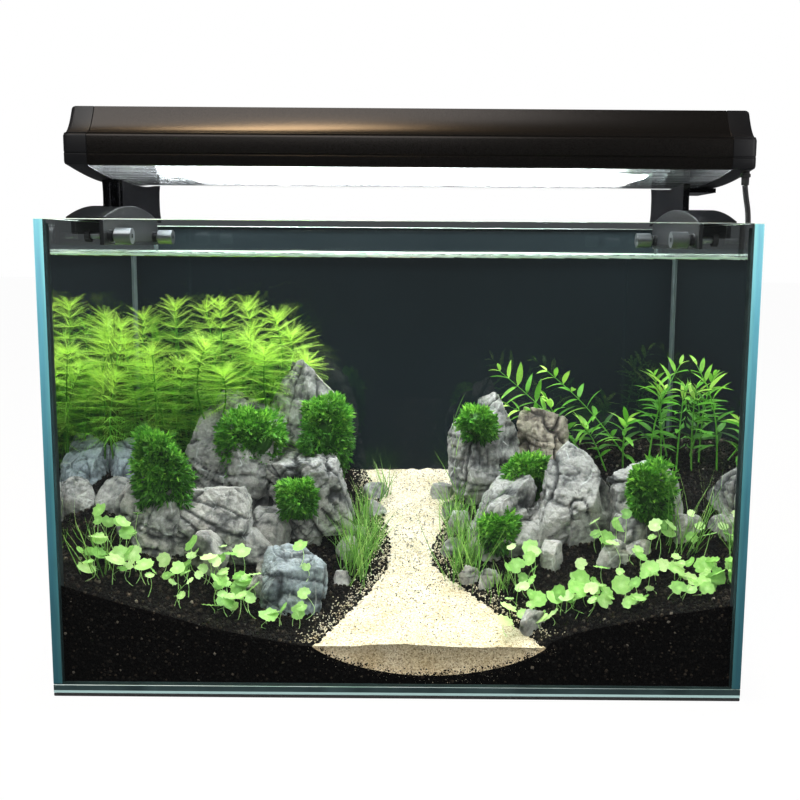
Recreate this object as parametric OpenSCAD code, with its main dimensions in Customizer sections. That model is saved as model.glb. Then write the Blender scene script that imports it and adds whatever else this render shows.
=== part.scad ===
// Planted rimless aquarium with a hood lamp on two rim brackets.
// Millimetres, +Z up. Origin: middle of the tank's footprint, on the surface the mat rests on.

/* [Tank] */
// Outer length of the tank, left to right
tank_l = 600; // [450:5:900]
// Outer depth of the tank, front to back
tank_d = 320; // [250:5:450]
// Height of the rim above the resting surface
tank_h = 414; // [320:5:520]
// Thickness of every glass pane
glass_t = 8; // [5:0.5:12]
// Thickness of the levelling mat
mat_t = 3; // [2:0.5:8]
// Leg of the silicone fillets
bead = 3; // [2:0.5:5]
// Thickness of the black background film
film_t = 0.6; // [0.4:0.1:1.5]

/* [Scape] */
// Height of the sand at the front pane
sand_front = 45.5; // [34:0.5:60]
// Rise of the sand path from front to back
sand_rise = 100; // [60:1:130]
// Height of the soil above the sand at the left wall
bank_left = 54; // [30:1:80]
// Height of the soil above the sand at the right wall
bank_right = 40; // [25:1:70]
// Depth of the sand lens at the front pane
lens_front = 26; // [16:1:28]
// Depth of the sand lens at the back pane
lens_back = 12; // [6:1:20]

/* [Lamp] */
// Length of the lamp and its end caps beyond the tank's length, both ends together
lamp_over = 21; // [9:1:60]
// Offset of the lamp to the right of the tank's middle
lamp_dx = 7.5; // [0:0.5:12]
// Depth of the lamp, front to back
lamp_d = 224; // [180:1:260]
// Middle of the lamp behind the tank's middle
lamp_cy = 26; // [0:1:40]
// Height of the lamp's lower band above the rim
lamp_gap = 48; // [40:1:95]
// Height of the upright lower band
band_h = 29; // [20:1:40]
// Height of the hollow-curved upper part
crown_h = 27; // [18:1:40]
// Inward lean of the upper part on each side
crown_in = 23; // [12:1:40]
// Wall of the extruded housing
shell_t = 2.2; // [1.5:0.1:4]
// Width of each end cap
cap_w = 22; // [14:1:30]
// Sag of the end cap's lower edge
cap_sag = 10; // [4:1:14]
// Thickness of the clear splash cover
cover_t = 2.5; // [1.5:0.1:4]
// Radius of the lamp's power cord
cord_r = 2.5; // [2:0.1:4]

/* [Brackets] */
// Length of each rim foot along the pane
foot_l = 166; // [140:1:220]
// Middle of each foot behind the tank's middle
foot_cy = 4; // [-20:1:30]
// Inner skirt face, measured inward from the outer glass face
foot_in = 30; // [22:1:36]
// Wall of the foot's inner skirt
skirt_t = 4; // [3:0.5:6]
// Drop of the inner skirt below the rim
skirt_drop = 22; // [16:1:30]
// Thickness of the rubber liner
liner_t = 1.5; // [1:0.1:3]
// Rise of the foot's arch
arch = 13; // [10:1:24]
// Height of the arch's ends above the rim
arch_end = 3.5; // [3:0.5:12]
// Length of the leg along the pane
leg_l = 122; // [90:1:150]
// Middle of the leg behind the lamp's middle
leg_dy = 10; // [-10:1:20]
// Depth of the leg's hollow sides, top to bottom
leg_waist = 7; // [0:1:12]
// Width of the leg's pillar across the pane
pillar_w = 19; // [12:1:24]
// Thickness of the leg's web
web_t = 6; // [4:0.5:10]
// Thumb screw's shaft diameter
screw_d = 6; // [4:0.5:8]
// Running clearance of the shaft, on the radius
play = 0.1; // [0.05:0.01:0.1]
// Diameter of the thumb knob
knob_d = 15; // [10:0.5:16]
// Length of the thumb knob
knob_l = 15; // [8:0.5:16]
// Distance of each screw from the foot's end
screw_in = 15.5; // [12:0.5:30]
// Depth of each screw's axis below the rim
screw_drop = 13.5; // [8:0.5:16]
// Travel of each clamp pad
pad_travel = 4; // [2:0.5:5]

/* [Hidden] */
$fn = 48;
in_x = tank_l / 2 - glass_t;
in_y = tank_d / 2 - glass_t;
floor_z = mat_t + glass_t;
lift = sand_front - 42;
foot_z = tank_h + liner_t;
wall_in = tank_l / 2 - foot_in;
arch_r = (foot_l * foot_l / 4 + arch * arch) / (2 * arch);
arch_top = tank_h + arch_end + arch;
screw_z = tank_h - screw_drop;
screw_y = foot_l / 2 - screw_in;
pad_face = in_x - 0.3;
pad_t = 4.7;
shaft_in = 2.3;
leg_x = wall_in + 0.6;
lamp_l = tank_l + lamp_over;
lamp_z = tank_h + lamp_gap;
half_d = lamp_d / 2;
inner_d = half_d - shell_t;
crown_z = lamp_z + band_h;
lamp_top = crown_z + crown_h;
body_l = lamp_l - 2 * cap_w;
exit_x = lamp_dx + lamp_l / 2 - 7;
exit_y = lamp_cy - half_d + 8;

// ---------- shared shapes ----------

function flat(a) = [for (r = a) for (p = r) p];

// A closed solid between two grids of points that have the same rows and columns.
module block(top, bot) {
  nr = len(top);
  nc = len(top[0]);
  n = nr * nc;
  function q(i, j, k) = k * n + i * nc + j;
  up = [for (i = [0:nr - 2]) for (j = [0:nc - 2]) each [
    [q(i, j, 0), q(i + 1, j + 1, 0), q(i, j + 1, 0)],
    [q(i, j, 0), q(i + 1, j, 0), q(i + 1, j + 1, 0)]]];
  down = [for (i = [0:nr - 2]) for (j = [0:nc - 2]) each [
    [q(i, j, 1), q(i, j + 1, 1), q(i + 1, j + 1, 1)],
    [q(i, j, 1), q(i + 1, j + 1, 1), q(i + 1, j, 1)]]];
  front = [for (j = [0:nc - 2]) each [
    [q(0, j, 0), q(0, j + 1, 0), q(0, j + 1, 1)],
    [q(0, j, 0), q(0, j + 1, 1), q(0, j, 1)]]];
  back = [for (j = [0:nc - 2]) each [
    [q(nr - 1, j, 0), q(nr - 1, j + 1, 1), q(nr - 1, j + 1, 0)],
    [q(nr - 1, j, 0), q(nr - 1, j, 1), q(nr - 1, j + 1, 1)]]];
  left = [for (i = [0:nr - 2]) each [
    [q(i, 0, 0), q(i, 0, 1), q(i + 1, 0, 1)],
    [q(i, 0, 0), q(i + 1, 0, 1), q(i + 1, 0, 0)]]];
  right = [for (i = [0:nr - 2]) each [
    [q(i, nc - 1, 0), q(i + 1, nc - 1, 0), q(i + 1, nc - 1, 1)],
    [q(i, nc - 1, 0), q(i + 1, nc - 1, 1), q(i, nc - 1, 1)]]];
  polyhedron(concat(flat(top), flat(bot)), concat(up, down, front, back, left, right));
}

// A closed lump from rings of points, with one point at each end.
module lump(a, rings, b) {
  nr = len(rings);
  nc = len(rings[0]);
  last = nr * nc + 1;
  function q(i, j) = 1 + i * nc + j % nc;
  low = [for (j = [0:nc - 1]) [0, q(0, j), q(0, j + 1)]];
  mid = [for (i = [0:nr - 2]) for (j = [0:nc - 1]) each [
    [q(i, j), q(i + 1, j), q(i + 1, j + 1)],
    [q(i, j), q(i + 1, j + 1), q(i, j + 1)]]];
  high = [for (j = [0:nc - 1]) [last, q(nr - 1, j + 1), q(nr - 1, j)]];
  polyhedron(concat([a], flat(rings), [b]), concat(low, mid, high));
}

// A craggy stone: an ellipsoid whose radius is broken by three waves. Stones rise and sink with the sand.
function crag(a, b, k) =
  1 + 0.13 * sin(3 * a + 71 * k) * sin(2 * b + 40 * k)
  + 0.09 * cos(5 * a - 33 * k) * cos(3 * b + 17 * k)
  + 0.06 * sin(7 * a + 5 * b + 50 * k);

function stone_point(a, b, s, k) =
  let (c = cos(b), e = sin(b), g = crag(a, b, k),
    w = 1 / pow(pow(abs(c * cos(a)), 3) + pow(abs(c * sin(a)), 3) + pow(abs(e), 3), 1 / 3))
  [s[0] * c * cos(a), s[1] * c * sin(a), s[2] * e] * (0.5 + 0.5 * w) * g;

module stone(at, s, turn, k) {
  rings = [for (b = [-68:17:68]) [for (j = [0:13]) stone_point(j * 360 / 14, b, s, k)]];
  translate(at + [0, 0, lift]) rotate(turn)
    lump([0, 0, -s[2] * 0.9], rings, [0, 0, s[2] * 0.95]);
}

// A soft spindle: a stem that widens to a crown and closes at its tip.
module spindle(at, top, r0, r1, n = 7, lean = [0, 0]) {
  h = top - at[2];
  function ring(t, r) = [for (j = [0:n - 1]) [
    at[0] + lean[0] * t * t + r * cos(j * 360 / n),
    at[1] + lean[1] * t * t + r * sin(j * 360 / n), at[2] + h * t]];
  lump(at, [ring(0.02, r0), ring(0.45, r0), ring(0.62, r1 * 0.75), ring(0.8, r1), ring(0.93, r1 * 0.7)],
    [at[0] + lean[0], at[1] + lean[1], top]);
}

// A thin blade of three sides that closes at its tip.
module blade(at, top, r, lean) {
  h = top - at[2];
  function ring(t) = [for (j = [0:2]) [
    at[0] + lean[0] * t * t + r * cos(j * 120),
    at[1] + lean[1] * t * t + r * sin(j * 120), at[2] + h * t]];
  lump(at, [ring(0.03), ring(0.6)], [at[0] + lean[0], at[1] + lean[1], top]);
}

// A round leaf on a thin stalk.
module penny(x, y, z0, h, r) {
  blade([x, y, z0], z0 + h, 0.9, [0, 0]);
  translate([x, y, z0 + h - 1.6]) cylinder(r = r, h = 1.2, $fn = 8);
}

// ---------- lie of the land ----------

function path_left(y) = y < -30 ? -12 - 62 * pow((-30 - y) / 122, 1.2)
  : -12 - 29 * pow(max(0, y) / 144, 1.5);
function path_right(y) = y < -30 ? 33 + 97 * (-30 - y) / 122 : 33 + 37 * max(0, y) / 144;
function along(y) = (y + in_y) / (2 * in_y);
function sand_z(y) = sand_front + sand_rise * along(y);
function left_z(y, u) = sand_z(y) + (bank_left + 16 * along(y)) * pow(1 - u, 1.3)
  + 2 * (1 - u) * u * sin(900 * u + 4 * y);
function right_z(y, u) = sand_z(y) + (bank_right + 8 * along(y)) * pow(u, 0.6)
  + 2 * (1 - u) * u * sin(800 * u + 5 * y);
function trough_z(y, u) = sand_z(y)
  - max(0.8, (lens_front + (lens_back - lens_front) * along(y)) * pow(4 * u * (1 - u), 0.8));
function heap_z(y, u) = sand_z(y) + 1.5 * sin(180 * u) + 1.2 * sin(500 * u + 3 * y) * sin(180 * u);
function soil_z(x, y) =
  x < path_left(y) ? left_z(y, (x + in_x) / (path_left(y) + in_x))
  : x > path_right(y) ? right_z(y, (x - path_right(y)) / (in_x - path_right(y)))
  : heap_z(y, (x - path_left(y)) / (path_right(y) - path_left(y)));

bed_rows = [for (i = [0:18]) -in_y + 2 * in_y * i / 18];
bed_top = [for (y = bed_rows) concat(
  [for (j = [0:9]) let (u = j / 10) [-in_x + (path_left(y) + in_x) * u, y, left_z(y, u)]],
  [for (j = [0:8]) let (u = j / 8)
    [path_left(y) + (path_right(y) - path_left(y)) * u, y, trough_z(y, u)]],
  [for (j = [1:10]) let (u = j / 10)
    [path_right(y) + (in_x - path_right(y)) * u, y, right_z(y, u)]])];
bed_low = [for (r = bed_top) [for (p = r) [p[0], p[1], floor_z]]];
path_low = [for (r = bed_top) [for (j = [10:18]) r[j]]];
path_top = [for (y = bed_rows) [for (j = [0:8]) let (u = j / 8)
  [path_left(y) + (path_right(y) - path_left(y)) * u, y, heap_z(y, u)]]];

// ---------- tank ----------

module levelling_mat() {
  color([0.05, 0.05, 0.05])
    translate([-tank_l / 2, -tank_d / 2, 0])
      cube([tank_l, tank_d, mat_t]);
}

module bottom_pane() {
  color([0.6, 0.8, 0.8, 0.5])
    translate([-tank_l / 2, -tank_d / 2, mat_t])
      cube([tank_l, tank_d, glass_t]);
}

module long_pane(y) {
  color([0.6, 0.8, 0.8, 0.4])
    translate([-in_x, y, floor_z])
      cube([2 * in_x, glass_t, tank_h - floor_z]);
}

module front_pane() {
  long_pane(-tank_d / 2);
}

module back_pane() {
  long_pane(in_y);
}

module side_pane(x) {
  color([0.6, 0.8, 0.8, 0.4])
    translate([x, -tank_d / 2, floor_z])
      cube([glass_t, tank_d, tank_h - floor_z]);
}

module left_pane() {
  side_pane(-tank_l / 2);
}

module right_pane() {
  side_pane(in_x);
}

// Fillets in the four upright corners and round the floor.
module silicone_beads() {
  color([0.75, 0.8, 0.8, 0.6])
    for (sx = [-1, 1], sy = [-1, 1])
      translate([sx * in_x, sy * in_y, floor_z])
        linear_extrude(tank_h - floor_z - 4)
          polygon([[0, 0], [-sx * bead, 0], [0, -sy * bead]]);
}

module background_film() {
  color([0.03, 0.04, 0.05])
    translate([-tank_l / 2, tank_d / 2, floor_z])
      cube([tank_l, film_t, tank_h - floor_z - 1]);
}

module soil_bed() {
  color([0.08, 0.06, 0.05]) block(bed_top, bed_low);
}

module sand_path() {
  color([0.92, 0.87, 0.76]) block(path_top, path_low);
}

// ---------- stones ----------

module rock_back_left() {
  color([0.42, 0.44, 0.45]) stone([24 - in_x, 40, 150], [22, 42, 44], [0, 0, 10], 2);
}

module rock_pointed() {
  color([0.45, 0.47, 0.48]) stone([-236, -50, 142], [38, 30, 52], [0, 8, 12], 5);
}

module rock_triangle() {
  color([0.5, 0.52, 0.53]) stone([-190, -44, 126], [40, 30, 44], [0, 24, -6], 7);
}

module rock_crown_left() {
  color([0.5, 0.51, 0.52]) stone([-168, 50, 190], [56, 46, 62], [0, -8, 14], 11);
}

module rock_crown_middle() {
  color([0.55, 0.56, 0.57]) stone([-96, 74, 210], [34, 44, 66], [0, 6, -12], 13);
}

module rock_ledge() {
  color([0.57, 0.58, 0.59]) stone([-92, 8, 150], [48, 40, 40], [0, 10, 8], 17);
}

module rock_low_left() {
  color([0.42, 0.46, 0.5]) stone([-96, -82, 72], [42, 34, 40], [0, 12, -8], 19);
}

module rock_cluster_right() {
  color([0.48, 0.49, 0.51]) stone([92, 82, 182], [34, 34, 52], [0, 4, 20], 23);
}

module rock_porous() {
  color([0.4, 0.35, 0.3]) stone([146, 84, 180], [30, 30, 46], [0, -6, 0], 29);
}

module rock_slab_middle() {
  color([0.52, 0.54, 0.56]) stone([166, -8, 132], [42, 32, 64], [0, -6, 10], 31);
}

module rock_slab_right() {
  color([0.54, 0.56, 0.58]) stone([240, -12, 140], [38, 34, 62], [0, 5, -8], 37);
}

module rock_ragged() {
  color([0.45, 0.47, 0.49]) stone([102, -6, 112], [34, 34, 54], [0, 10, 6], 41);
}

// ---------- plants ----------

module feather_plants() {
  color([0.55, 0.8, 0.2])
    for (i = [0:15]) {
      x = -262 + (i % 8) * 24 + 9 * sin(i * 77);
      y = i < 8 ? 106 + 12 * sin(i * 131) : 54 + 14 * sin(i * 97);
      top = lift + 300 - 7 * (i % 8) + 14 * sin(i * 59);
      spindle([x, y, soil_z(x, y) - 8], top, 2, 17, 6, [8 * sin(i * 41), 4]);
    }
}

module willow_stems() {
  color([0.45, 0.7, 0.25])
    for (i = [0:8]) {
      x = 118 + i * 18 + 4 * sin(i * 77);
      y = 106 + 12 * sin(i * 111);
      spindle([x, y, soil_z(x, y) - 8], lift + 236 + 16 * sin(i * 67), 1.5, 11, 6, [-10 * cos(i * 50), 0]);
    }
}

module hairgrass(cx, cy, w, d, n, h) {
  for (i = [0:n - 1]) {
    x = cx + w * sin(i * 137);
    y = cy + d * cos(i * 101);
    blade([x, y, soil_z(x, y) - 6], soil_z(x, y) + h * (0.75 + 0.25 * sin(i * 53)), 1.1,
      [14 * sin(i * 71), 8 * cos(i * 89)]);
  }
}

module hairgrass_left() {
  color([0.45, 0.65, 0.25]) {
    hairgrass(-44, -34, 12, 20, 16, 62);
    hairgrass(-34, 40, 10, 20, 8, 44);
    hairgrass(-266, -120, 10, 12, 6, 52);
  }
}

module hairgrass_right() {
  color([0.45, 0.65, 0.25]) {
    hairgrass(62, -44, 12, 20, 16, 56);
    hairgrass(58, 40, 8, 20, 8, 46);
    hairgrass(270, -70, 8, 16, 8, 74);
  }
}

module pennywort_left() {
  color([0.6, 0.85, 0.45])
    for (i = [0:19]) {
      x = -280 + i * 9.6;
      y = -112 + 18 * sin(i * 83);
      penny(x, y, soil_z(x, y) - 5, 24 + 12 * sin(i * 61), 7 + 1.5 * sin(i * 47));
    }
}

module pennywort_right() {
  color([0.6, 0.85, 0.45])
    for (i = [0:21]) {
      x = 112 + i * 8;
      y = -104 + 20 * sin(i * 83);
      penny(x, y, soil_z(x, y) - 5, 24 + 12 * sin(i * 61), 7 + 1.5 * sin(i * 47));
    }
}

module moss_left() {
  color([0.25, 0.5, 0.15]) {
    stone([-222, -62, 178], [20, 16, 34], [0, 14, 0], 3);
    stone([-150, 8, 196], [32, 14, 30], [0, 0, 0], 4);
    stone([-74, 34, 206], [24, 20, 34], [0, 0, 0], 6);
    stone([-96, -30, 148], [16, 12, 16], [0, 0, 0], 8);
  }
}

module moss_right() {
  color([0.25, 0.5, 0.15]) {
    stone([78, 56, 208], [16, 14, 16], [0, 0, 0], 3);
    stone([124, 12, 160], [20, 16, 20], [0, -20, 0], 4);
    stone([96, -36, 120], [14, 12, 18], [0, 0, 0], 6);
    stone([236, -44, 158], [18, 14, 26], [0, 0, 0], 8);
  }
}

// ---------- lamp ----------

// Right half of the lamp's section, inset by e, from the band's foot to the flat top.
function section_half(e) = concat(
  [[half_d - e - (e > 0 ? 0 : 3), lamp_z], [half_d - e, lamp_z + (e > 0 ? 0.01 : 4)],
    [half_d - e, crown_z - 2]],
  [for (i = [0:10]) let (t = i / 10)
    [half_d - 2 - e - (crown_in - 2) * (1 - pow(1 - t, 1.0)), crown_z + (crown_h - e) * pow(t, 1.9)]]);
function section(e) = concat(section_half(e),
  [for (i = [len(section_half(e)) - 1:-1:0]) [-section_half(e)[i][0], section_half(e)[i][1]]]);

// The lamp's section, drawn in the upright plane and pushed along X.
module ribbon(x0, x1) {
  translate([x0, lamp_cy, 0])
    rotate([90, 0, 90])
      linear_extrude(x1 - x0)
        children();
}

module lamp_housing() {
  color([0.1, 0.1, 0.1])
    ribbon(lamp_dx - body_l / 2, lamp_dx + body_l / 2)
      difference() {
        polygon(section(0));
        polygon(concat([[-half_d + shell_t, lamp_z - 1]], [for (p = section(shell_t)) [-p[0], p[1]]],
          [[half_d - shell_t, lamp_z - 1]]));
      }
}

module cap_shape() {
  polygon(concat(section(0), [for (i = [1:15]) let (t = i / 8 - 1)
    [(half_d - 3) * t, lamp_z - cap_sag * (1 - t * t)]]));
}

module end_cap(x0, x1, open) {
  color([0.07, 0.07, 0.07])
    difference() {
      ribbon(x0, x1) cap_shape();
      translate([open > 0 ? x0 - 1 : x0 + 3, lamp_cy - half_d + 5, lamp_z + 4])
        cube([x1 - x0 - 2, lamp_d - 10, band_h - 7]);
    }
}

module end_cap_left() {
  end_cap(lamp_dx - lamp_l / 2, lamp_dx - body_l / 2, -1);
}

module end_cap_right() {
  difference() {
    end_cap(lamp_dx + body_l / 2, lamp_dx + lamp_l / 2, 1);
    translate([exit_x, exit_y, lamp_z - 8])
      cylinder(r = cord_r + 1.2, h = 13);
  }
}

module reflector() {
  color([0.9, 0.9, 0.92])
    ribbon(lamp_dx - body_l / 2 + 1, lamp_dx + body_l / 2 - 1)
      polygon([[-inner_d, lamp_z + 7], [-half_d + 34, lamp_z + 27], [half_d - 34, lamp_z + 27],
        [inner_d, lamp_z + 7], [inner_d, lamp_z + 8.5], [half_d - 33.6, lamp_z + 28.2],
        [-half_d + 33.6, lamp_z + 28.2], [-inner_d, lamp_z + 8.5]]);
}

module led_board() {
  color([0.85, 0.87, 0.85])
    translate([lamp_dx - body_l / 2 + 30, lamp_cy - 54, lamp_z + 25.4])
      cube([body_l - 120, 108, 1.6]);
}

module led_chips() {
  color([1, 1, 0.9])
    for (i = [0:15], j = [-1:1])
      translate([lamp_dx - body_l / 2 + 42 + i * (body_l - 148) / 15, lamp_cy + j * 38, lamp_z + 23.9])
        translate([-2.5, -2.5, 0])
          cube([5, 5, 1.5]);
}

module driver_box() {
  color([0.2, 0.2, 0.22])
    translate([lamp_dx + body_l / 2 - 190, lamp_cy - 26, lamp_z + 28.2])
      cube([150, 52, 22]);
}

module splash_cover() {
  color([0.85, 0.95, 1, 0.5])
    ribbon(lamp_dx - body_l / 2, lamp_dx + body_l / 2)
      polygon(concat(
        [for (i = [0:16]) let (t = i / 8 - 1) [inner_d * t, lamp_z + 1 - (cap_sag - 1) * (1 - t * t)]],
        [for (i = [16:-1:0]) let (t = i / 8 - 1)
          [inner_d * t, lamp_z + 1 + cover_t - (cap_sag - 1) * (1 - t * t)]]));
}

// Two screws in each end cap.
module cap_screws() {
  color([0.5, 0.5, 0.52])
    for (sx = [-1, 1], sy = [-1, 1])
      translate([lamp_dx + sx * lamp_l / 2, lamp_cy + sy * (half_d - 12), lamp_z + 16])
        rotate([0, sx * 90, 0])
          cylinder(r = 3, h = 1.6, $fn = 32);
}

module strain_relief() {
  color([0.05, 0.05, 0.05])
    translate([exit_x, exit_y, lamp_z - 12])
      difference() {
        union() {
          cylinder(r1 = cord_r + 0.8, r2 = cord_r + 1.2, h = 16);
          translate([0, 0, 7]) cylinder(r = cord_r + 2, h = 3);
        }
        translate([0, 0, -1]) cylinder(r = cord_r + 0.05, h = 18);
      }
}

// ---------- brackets ----------

// Everything of the foot's outline that lies under its arch, in the upright plane along the pane.
module arch_body(x0, x1, z0) {
  intersection() {
    translate([x0, foot_cy - foot_l / 2, z0])
      cube([x1 - x0, foot_l, arch_top - z0]);
    translate([x0 - 1, foot_cy, arch_top - arch_r])
      rotate([0, 90, 0])
        cylinder(r = arch_r, h = x1 - x0 + 2, $fn = 180);
  }
}

module foot(s) {
  color([0.16, 0.16, 0.17])
    difference() {
      union() {
        arch_body(min(s * wall_in, s * (tank_l / 2 + 5)), max(s * wall_in, s * (tank_l / 2 + 5)), foot_z);
        translate([s > 0 ? wall_in : -wall_in - skirt_t, foot_cy - foot_l / 2, tank_h - skirt_drop])
          cube([skirt_t, foot_l, skirt_drop + liner_t]);
        translate([s > 0 ? tank_l / 2 + liner_t : -tank_l / 2 - 5, foot_cy - foot_l / 2, tank_h - 12])
          cube([5 - liner_t, foot_l, 12 + liner_t]);
        for (sy = [-1, 1])
          translate([s * wall_in, foot_cy + sy * screw_y, screw_z])
            rotate([0, -s * 90, 0])
              cylinder(r = 5.4, h = 4);
      }
      for (sy = [-1, 1])
        translate([s * (wall_in - 5), foot_cy + sy * screw_y, screw_z])
          rotate([0, s * 90, 0])
            cylinder(r = screw_d / 2 + play, h = skirt_t + 6);
    }
}

module foot_left() {
  foot(-1);
}

module foot_right() {
  foot(1);
}

// Rubber strips between the feet and the rim.
module rim_liners() {
  color([0.03, 0.03, 0.03])
    for (s = [-1, 1]) {
      translate([s > 0 ? in_x - 4 : -tank_l / 2 - liner_t, foot_cy - foot_l / 2, tank_h])
        cube([glass_t + 4 + liner_t, foot_l, liner_t]);
      translate([s > 0 ? tank_l / 2 + 0.3 : -tank_l / 2 - liner_t, foot_cy - foot_l / 2, tank_h - 12])
        cube([liner_t - 0.3, foot_l, 12]);
    }
}

// One moulded leg: a flat web with hollow ends, ribs on one edge, a deep pillar on the other, an arm on top.
module leg_profile() {
  half = leg_l / 2;
  low = tank_h + liner_t + 0.6;
  mid = (low + lamp_z) / 2;
  reach = (lamp_z - low) / 2;
  edge = [for (i = [0:12]) let (z = low + (lamp_z - low) * i / 12)
    [half + leg_waist * pow(abs(z - mid) / reach, 3), z]];
  polygon(concat(edge, [for (i = [12:-1:0]) [-edge[i][0], edge[i][1]]]));
}

module leg(s, turned) {
  arm_z = lamp_z - cap_sag;
  t = turned ? -1 : 1;
  cap_x = lamp_l / 2 + s * lamp_dx - 6;
  color([0.05, 0.05, 0.05])
    difference() {
      translate([s * leg_x, lamp_cy + leg_dy, 0]) {
        rotate([90, 0, 90])
          translate([0, 0, s > 0 ? 0 : -web_t])
            linear_extrude(web_t)
              leg_profile();
        intersection() {
          rotate([90, 0, 90])
            translate([0, 0, s > 0 ? 0 : -pillar_w])
              linear_extrude(pillar_w)
                leg_profile();
          translate([-50, t > 0 ? -leg_l : leg_l / 2 - 22, tank_h])
            cube([100, leg_l / 2 + 22, lamp_z - tank_h]);
        }
        for (i = [0:1])
          translate([s * (4 + i * 9), -t * leg_l / 2, tank_h + arch_end])
            cylinder(r = 2.2, h = arm_z - tank_h - arch_end);
        translate([s > 0 ? 0 : leg_x - cap_x, -30, arm_z - 4])
          cube([cap_x - leg_x, 60, 8]);
      }
      arch_body(-tank_l, tank_l, tank_h);
      ribbon(-tank_l, tank_l) cap_shape();
    }
}

module leg_left() {
  leg(-1, false);
}

module leg_right() {
  leg(1, true);
}

// Rubber-faced pad that a thumb screw pushes against the inside of the glass.
module pad(s, sy) {
  color([0.05, 0.05, 0.05])
    translate([s * pad_face, foot_cy + sy * screw_y, screw_z])
      rotate([0, -s * 90, 0])
        difference() {
          cylinder(r = 6, h = pad_t);
          translate([0, 0, pad_t - shaft_in]) cylinder(r = screw_d / 2 + play, h = shaft_in + 1);
        }
}

module pad_left_front() {
  pad(-1, -1);
}

module pad_left_back() {
  pad(-1, 1);
}

module pad_right_front() {
  pad(1, -1);
}

module pad_right_back() {
  pad(1, 1);
}

// Thumb screw: shaft, neck and a knob with a hexagon socket in its end.
module knob(s, sy) {
  tip = pad_face - pad_t + shaft_in - 0.2;
  head = wall_in - 6;
  color([0.6, 0.62, 0.62])
    translate([s * tip, foot_cy + sy * screw_y, screw_z])
      rotate([0, -s * 90, 0])
        difference() {
          union() {
            cylinder(r = screw_d / 2, h = tip - head + 1);
            translate([0, 0, tip - head]) cylinder(r = knob_d / 2, h = knob_l);
          }
          translate([0, 0, tip - head + knob_l - 6]) cylinder(r = 2.6, h = 7, $fn = 6);
        }
}

module knob_left_front() {
  knob(-1, -1);
}

module knob_left_back() {
  knob(-1, 1);
}

module knob_right_front() {
  knob(1, -1);
}

module knob_right_back() {
  knob(1, 1);
}

// ---------- cord ----------

// A round tube along a line of points, as one closed sweep.
module sweep(line, r, n) {
  m = len(line);
  function unit(v) = v / norm(v);
  function dir(i) = unit(line[min(i + 1, m - 1)] - line[max(i - 1, 0)]);
  function side(i) = let (d = dir(i), a = abs(d[2]) > 0.9 ? [0, 1, 0] : [0, 0, 1]) unit(cross(a, d));
  function turn_side(i) = i == 0 ? side(0)
    : let (p = turn_side(i - 1), d = dir(i)) unit(p - d * (p * d));
  rings = [for (i = [0:m - 1]) let (d = dir(i), u = turn_side(i), v = cross(d, u))
    [for (j = [0:n - 1]) line[i] + r * (u * cos(j * 360 / n) + v * sin(j * 360 / n))]];
  pts = flat(rings);
  sides = [for (i = [0:m - 2]) for (j = [0:n - 1]) let (a = i * n + j, b = i * n + (j + 1) % n) each
    [[a, b, b + n], [a, b + n, a + n]]];
  polyhedron(concat(pts, [line[0], line[m - 1]]),
    concat(sides,
      [for (j = [0:n - 1]) [m * n, (j + 1) % n, j]],
      [for (j = [0:n - 1]) [m * n + 1, (m - 1) * n + j, (m - 1) * n + (j + 1) % n]]));
}

// Route of the cord by hand: out of the gland, down beside the tank, along the table and behind it.
route = [
  [exit_x, exit_y, lamp_z - 12.2], [exit_x + 1, exit_y, 441], [exit_x + 4.5, exit_y, 424],
  [exit_x + 4.5, exit_y, 398], [exit_x + 2, exit_y + 1, 350], [exit_x, exit_y + 3, 280],
  [exit_x, exit_y + 6, 200], [exit_x, exit_y + 9, 120], [exit_x, exit_y + 13, 60],
  [exit_x + 1, exit_y + 24, 24], [exit_x + 2, exit_y + 46, 6], [exit_x + 2, exit_y + 82, 2.6],
  [exit_x + 1, exit_y + 136, 2.6], [exit_x - 1, 140, 2.6], [exit_x - 10, 180, 2.6],
  [exit_x - 44, 196, 2.6], [exit_x - 70, 196, 2.6], [225, 196.2, 2.6]
];
function bezier(a, b, c, t) = a * (1 - t) * (1 - t) + b * 2 * t * (1 - t) + c * t * t;
smooth = concat([route[0]],
  [for (i = [1:len(route) - 2]) for (k = [0:3]) let (t = k / 4,
    a = i == 1 ? route[0] : (route[i - 1] + route[i]) / 2,
    c = i == len(route) - 2 ? route[i + 1] : (route[i] + route[i + 1]) / 2)
    if (i > 1 || k > 0) bezier(a, route[i], c, t)],
  [route[len(route) - 1]]);
coil_x = 205;
coil_y = 226;
coil_r = 28;

module power_cord() {
  color([0.04, 0.04, 0.04]) sweep(smooth, cord_r, 8);
}

module cord_coil() {
  color([0.04, 0.04, 0.04])
    translate([coil_x, coil_y, 0])
      rotate_extrude($fn = 64)
        translate([coil_r - 5, 0.1])
          square([10, 15]);
}

module cord_tie() {
  color([0.1, 0.1, 0.1])
    difference() {
      translate([coil_x - 3, coil_y + coil_r - 7, 0]) cube([6, 14, 16.6]);
      translate([coil_x - 4, coil_y + coil_r - 5.4, 0.05]) cube([8, 10.8, 15.1]);
    }
}

module plug_body() {
  color([0.05, 0.05, 0.05])
    translate([coil_x - coil_r - 39.2, coil_y - 12, 0.1])
      difference() {
        cube([34, 24, 20]);
        translate([-1, 12, 10]) rotate([0, 90, 0]) cylinder(r = 2, h = 3, $fn = 24);
      }
}

module plug_pins() {
  color([0.8, 0.8, 0.8])
    for (sy = [-1, 1])
      translate([coil_x - coil_r - 55.2, coil_y + sy * 6.5, 10.1])
        rotate([0, 90, 0])
          cylinder(r = 1.6, h = 16, $fn = 24);
}

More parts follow.
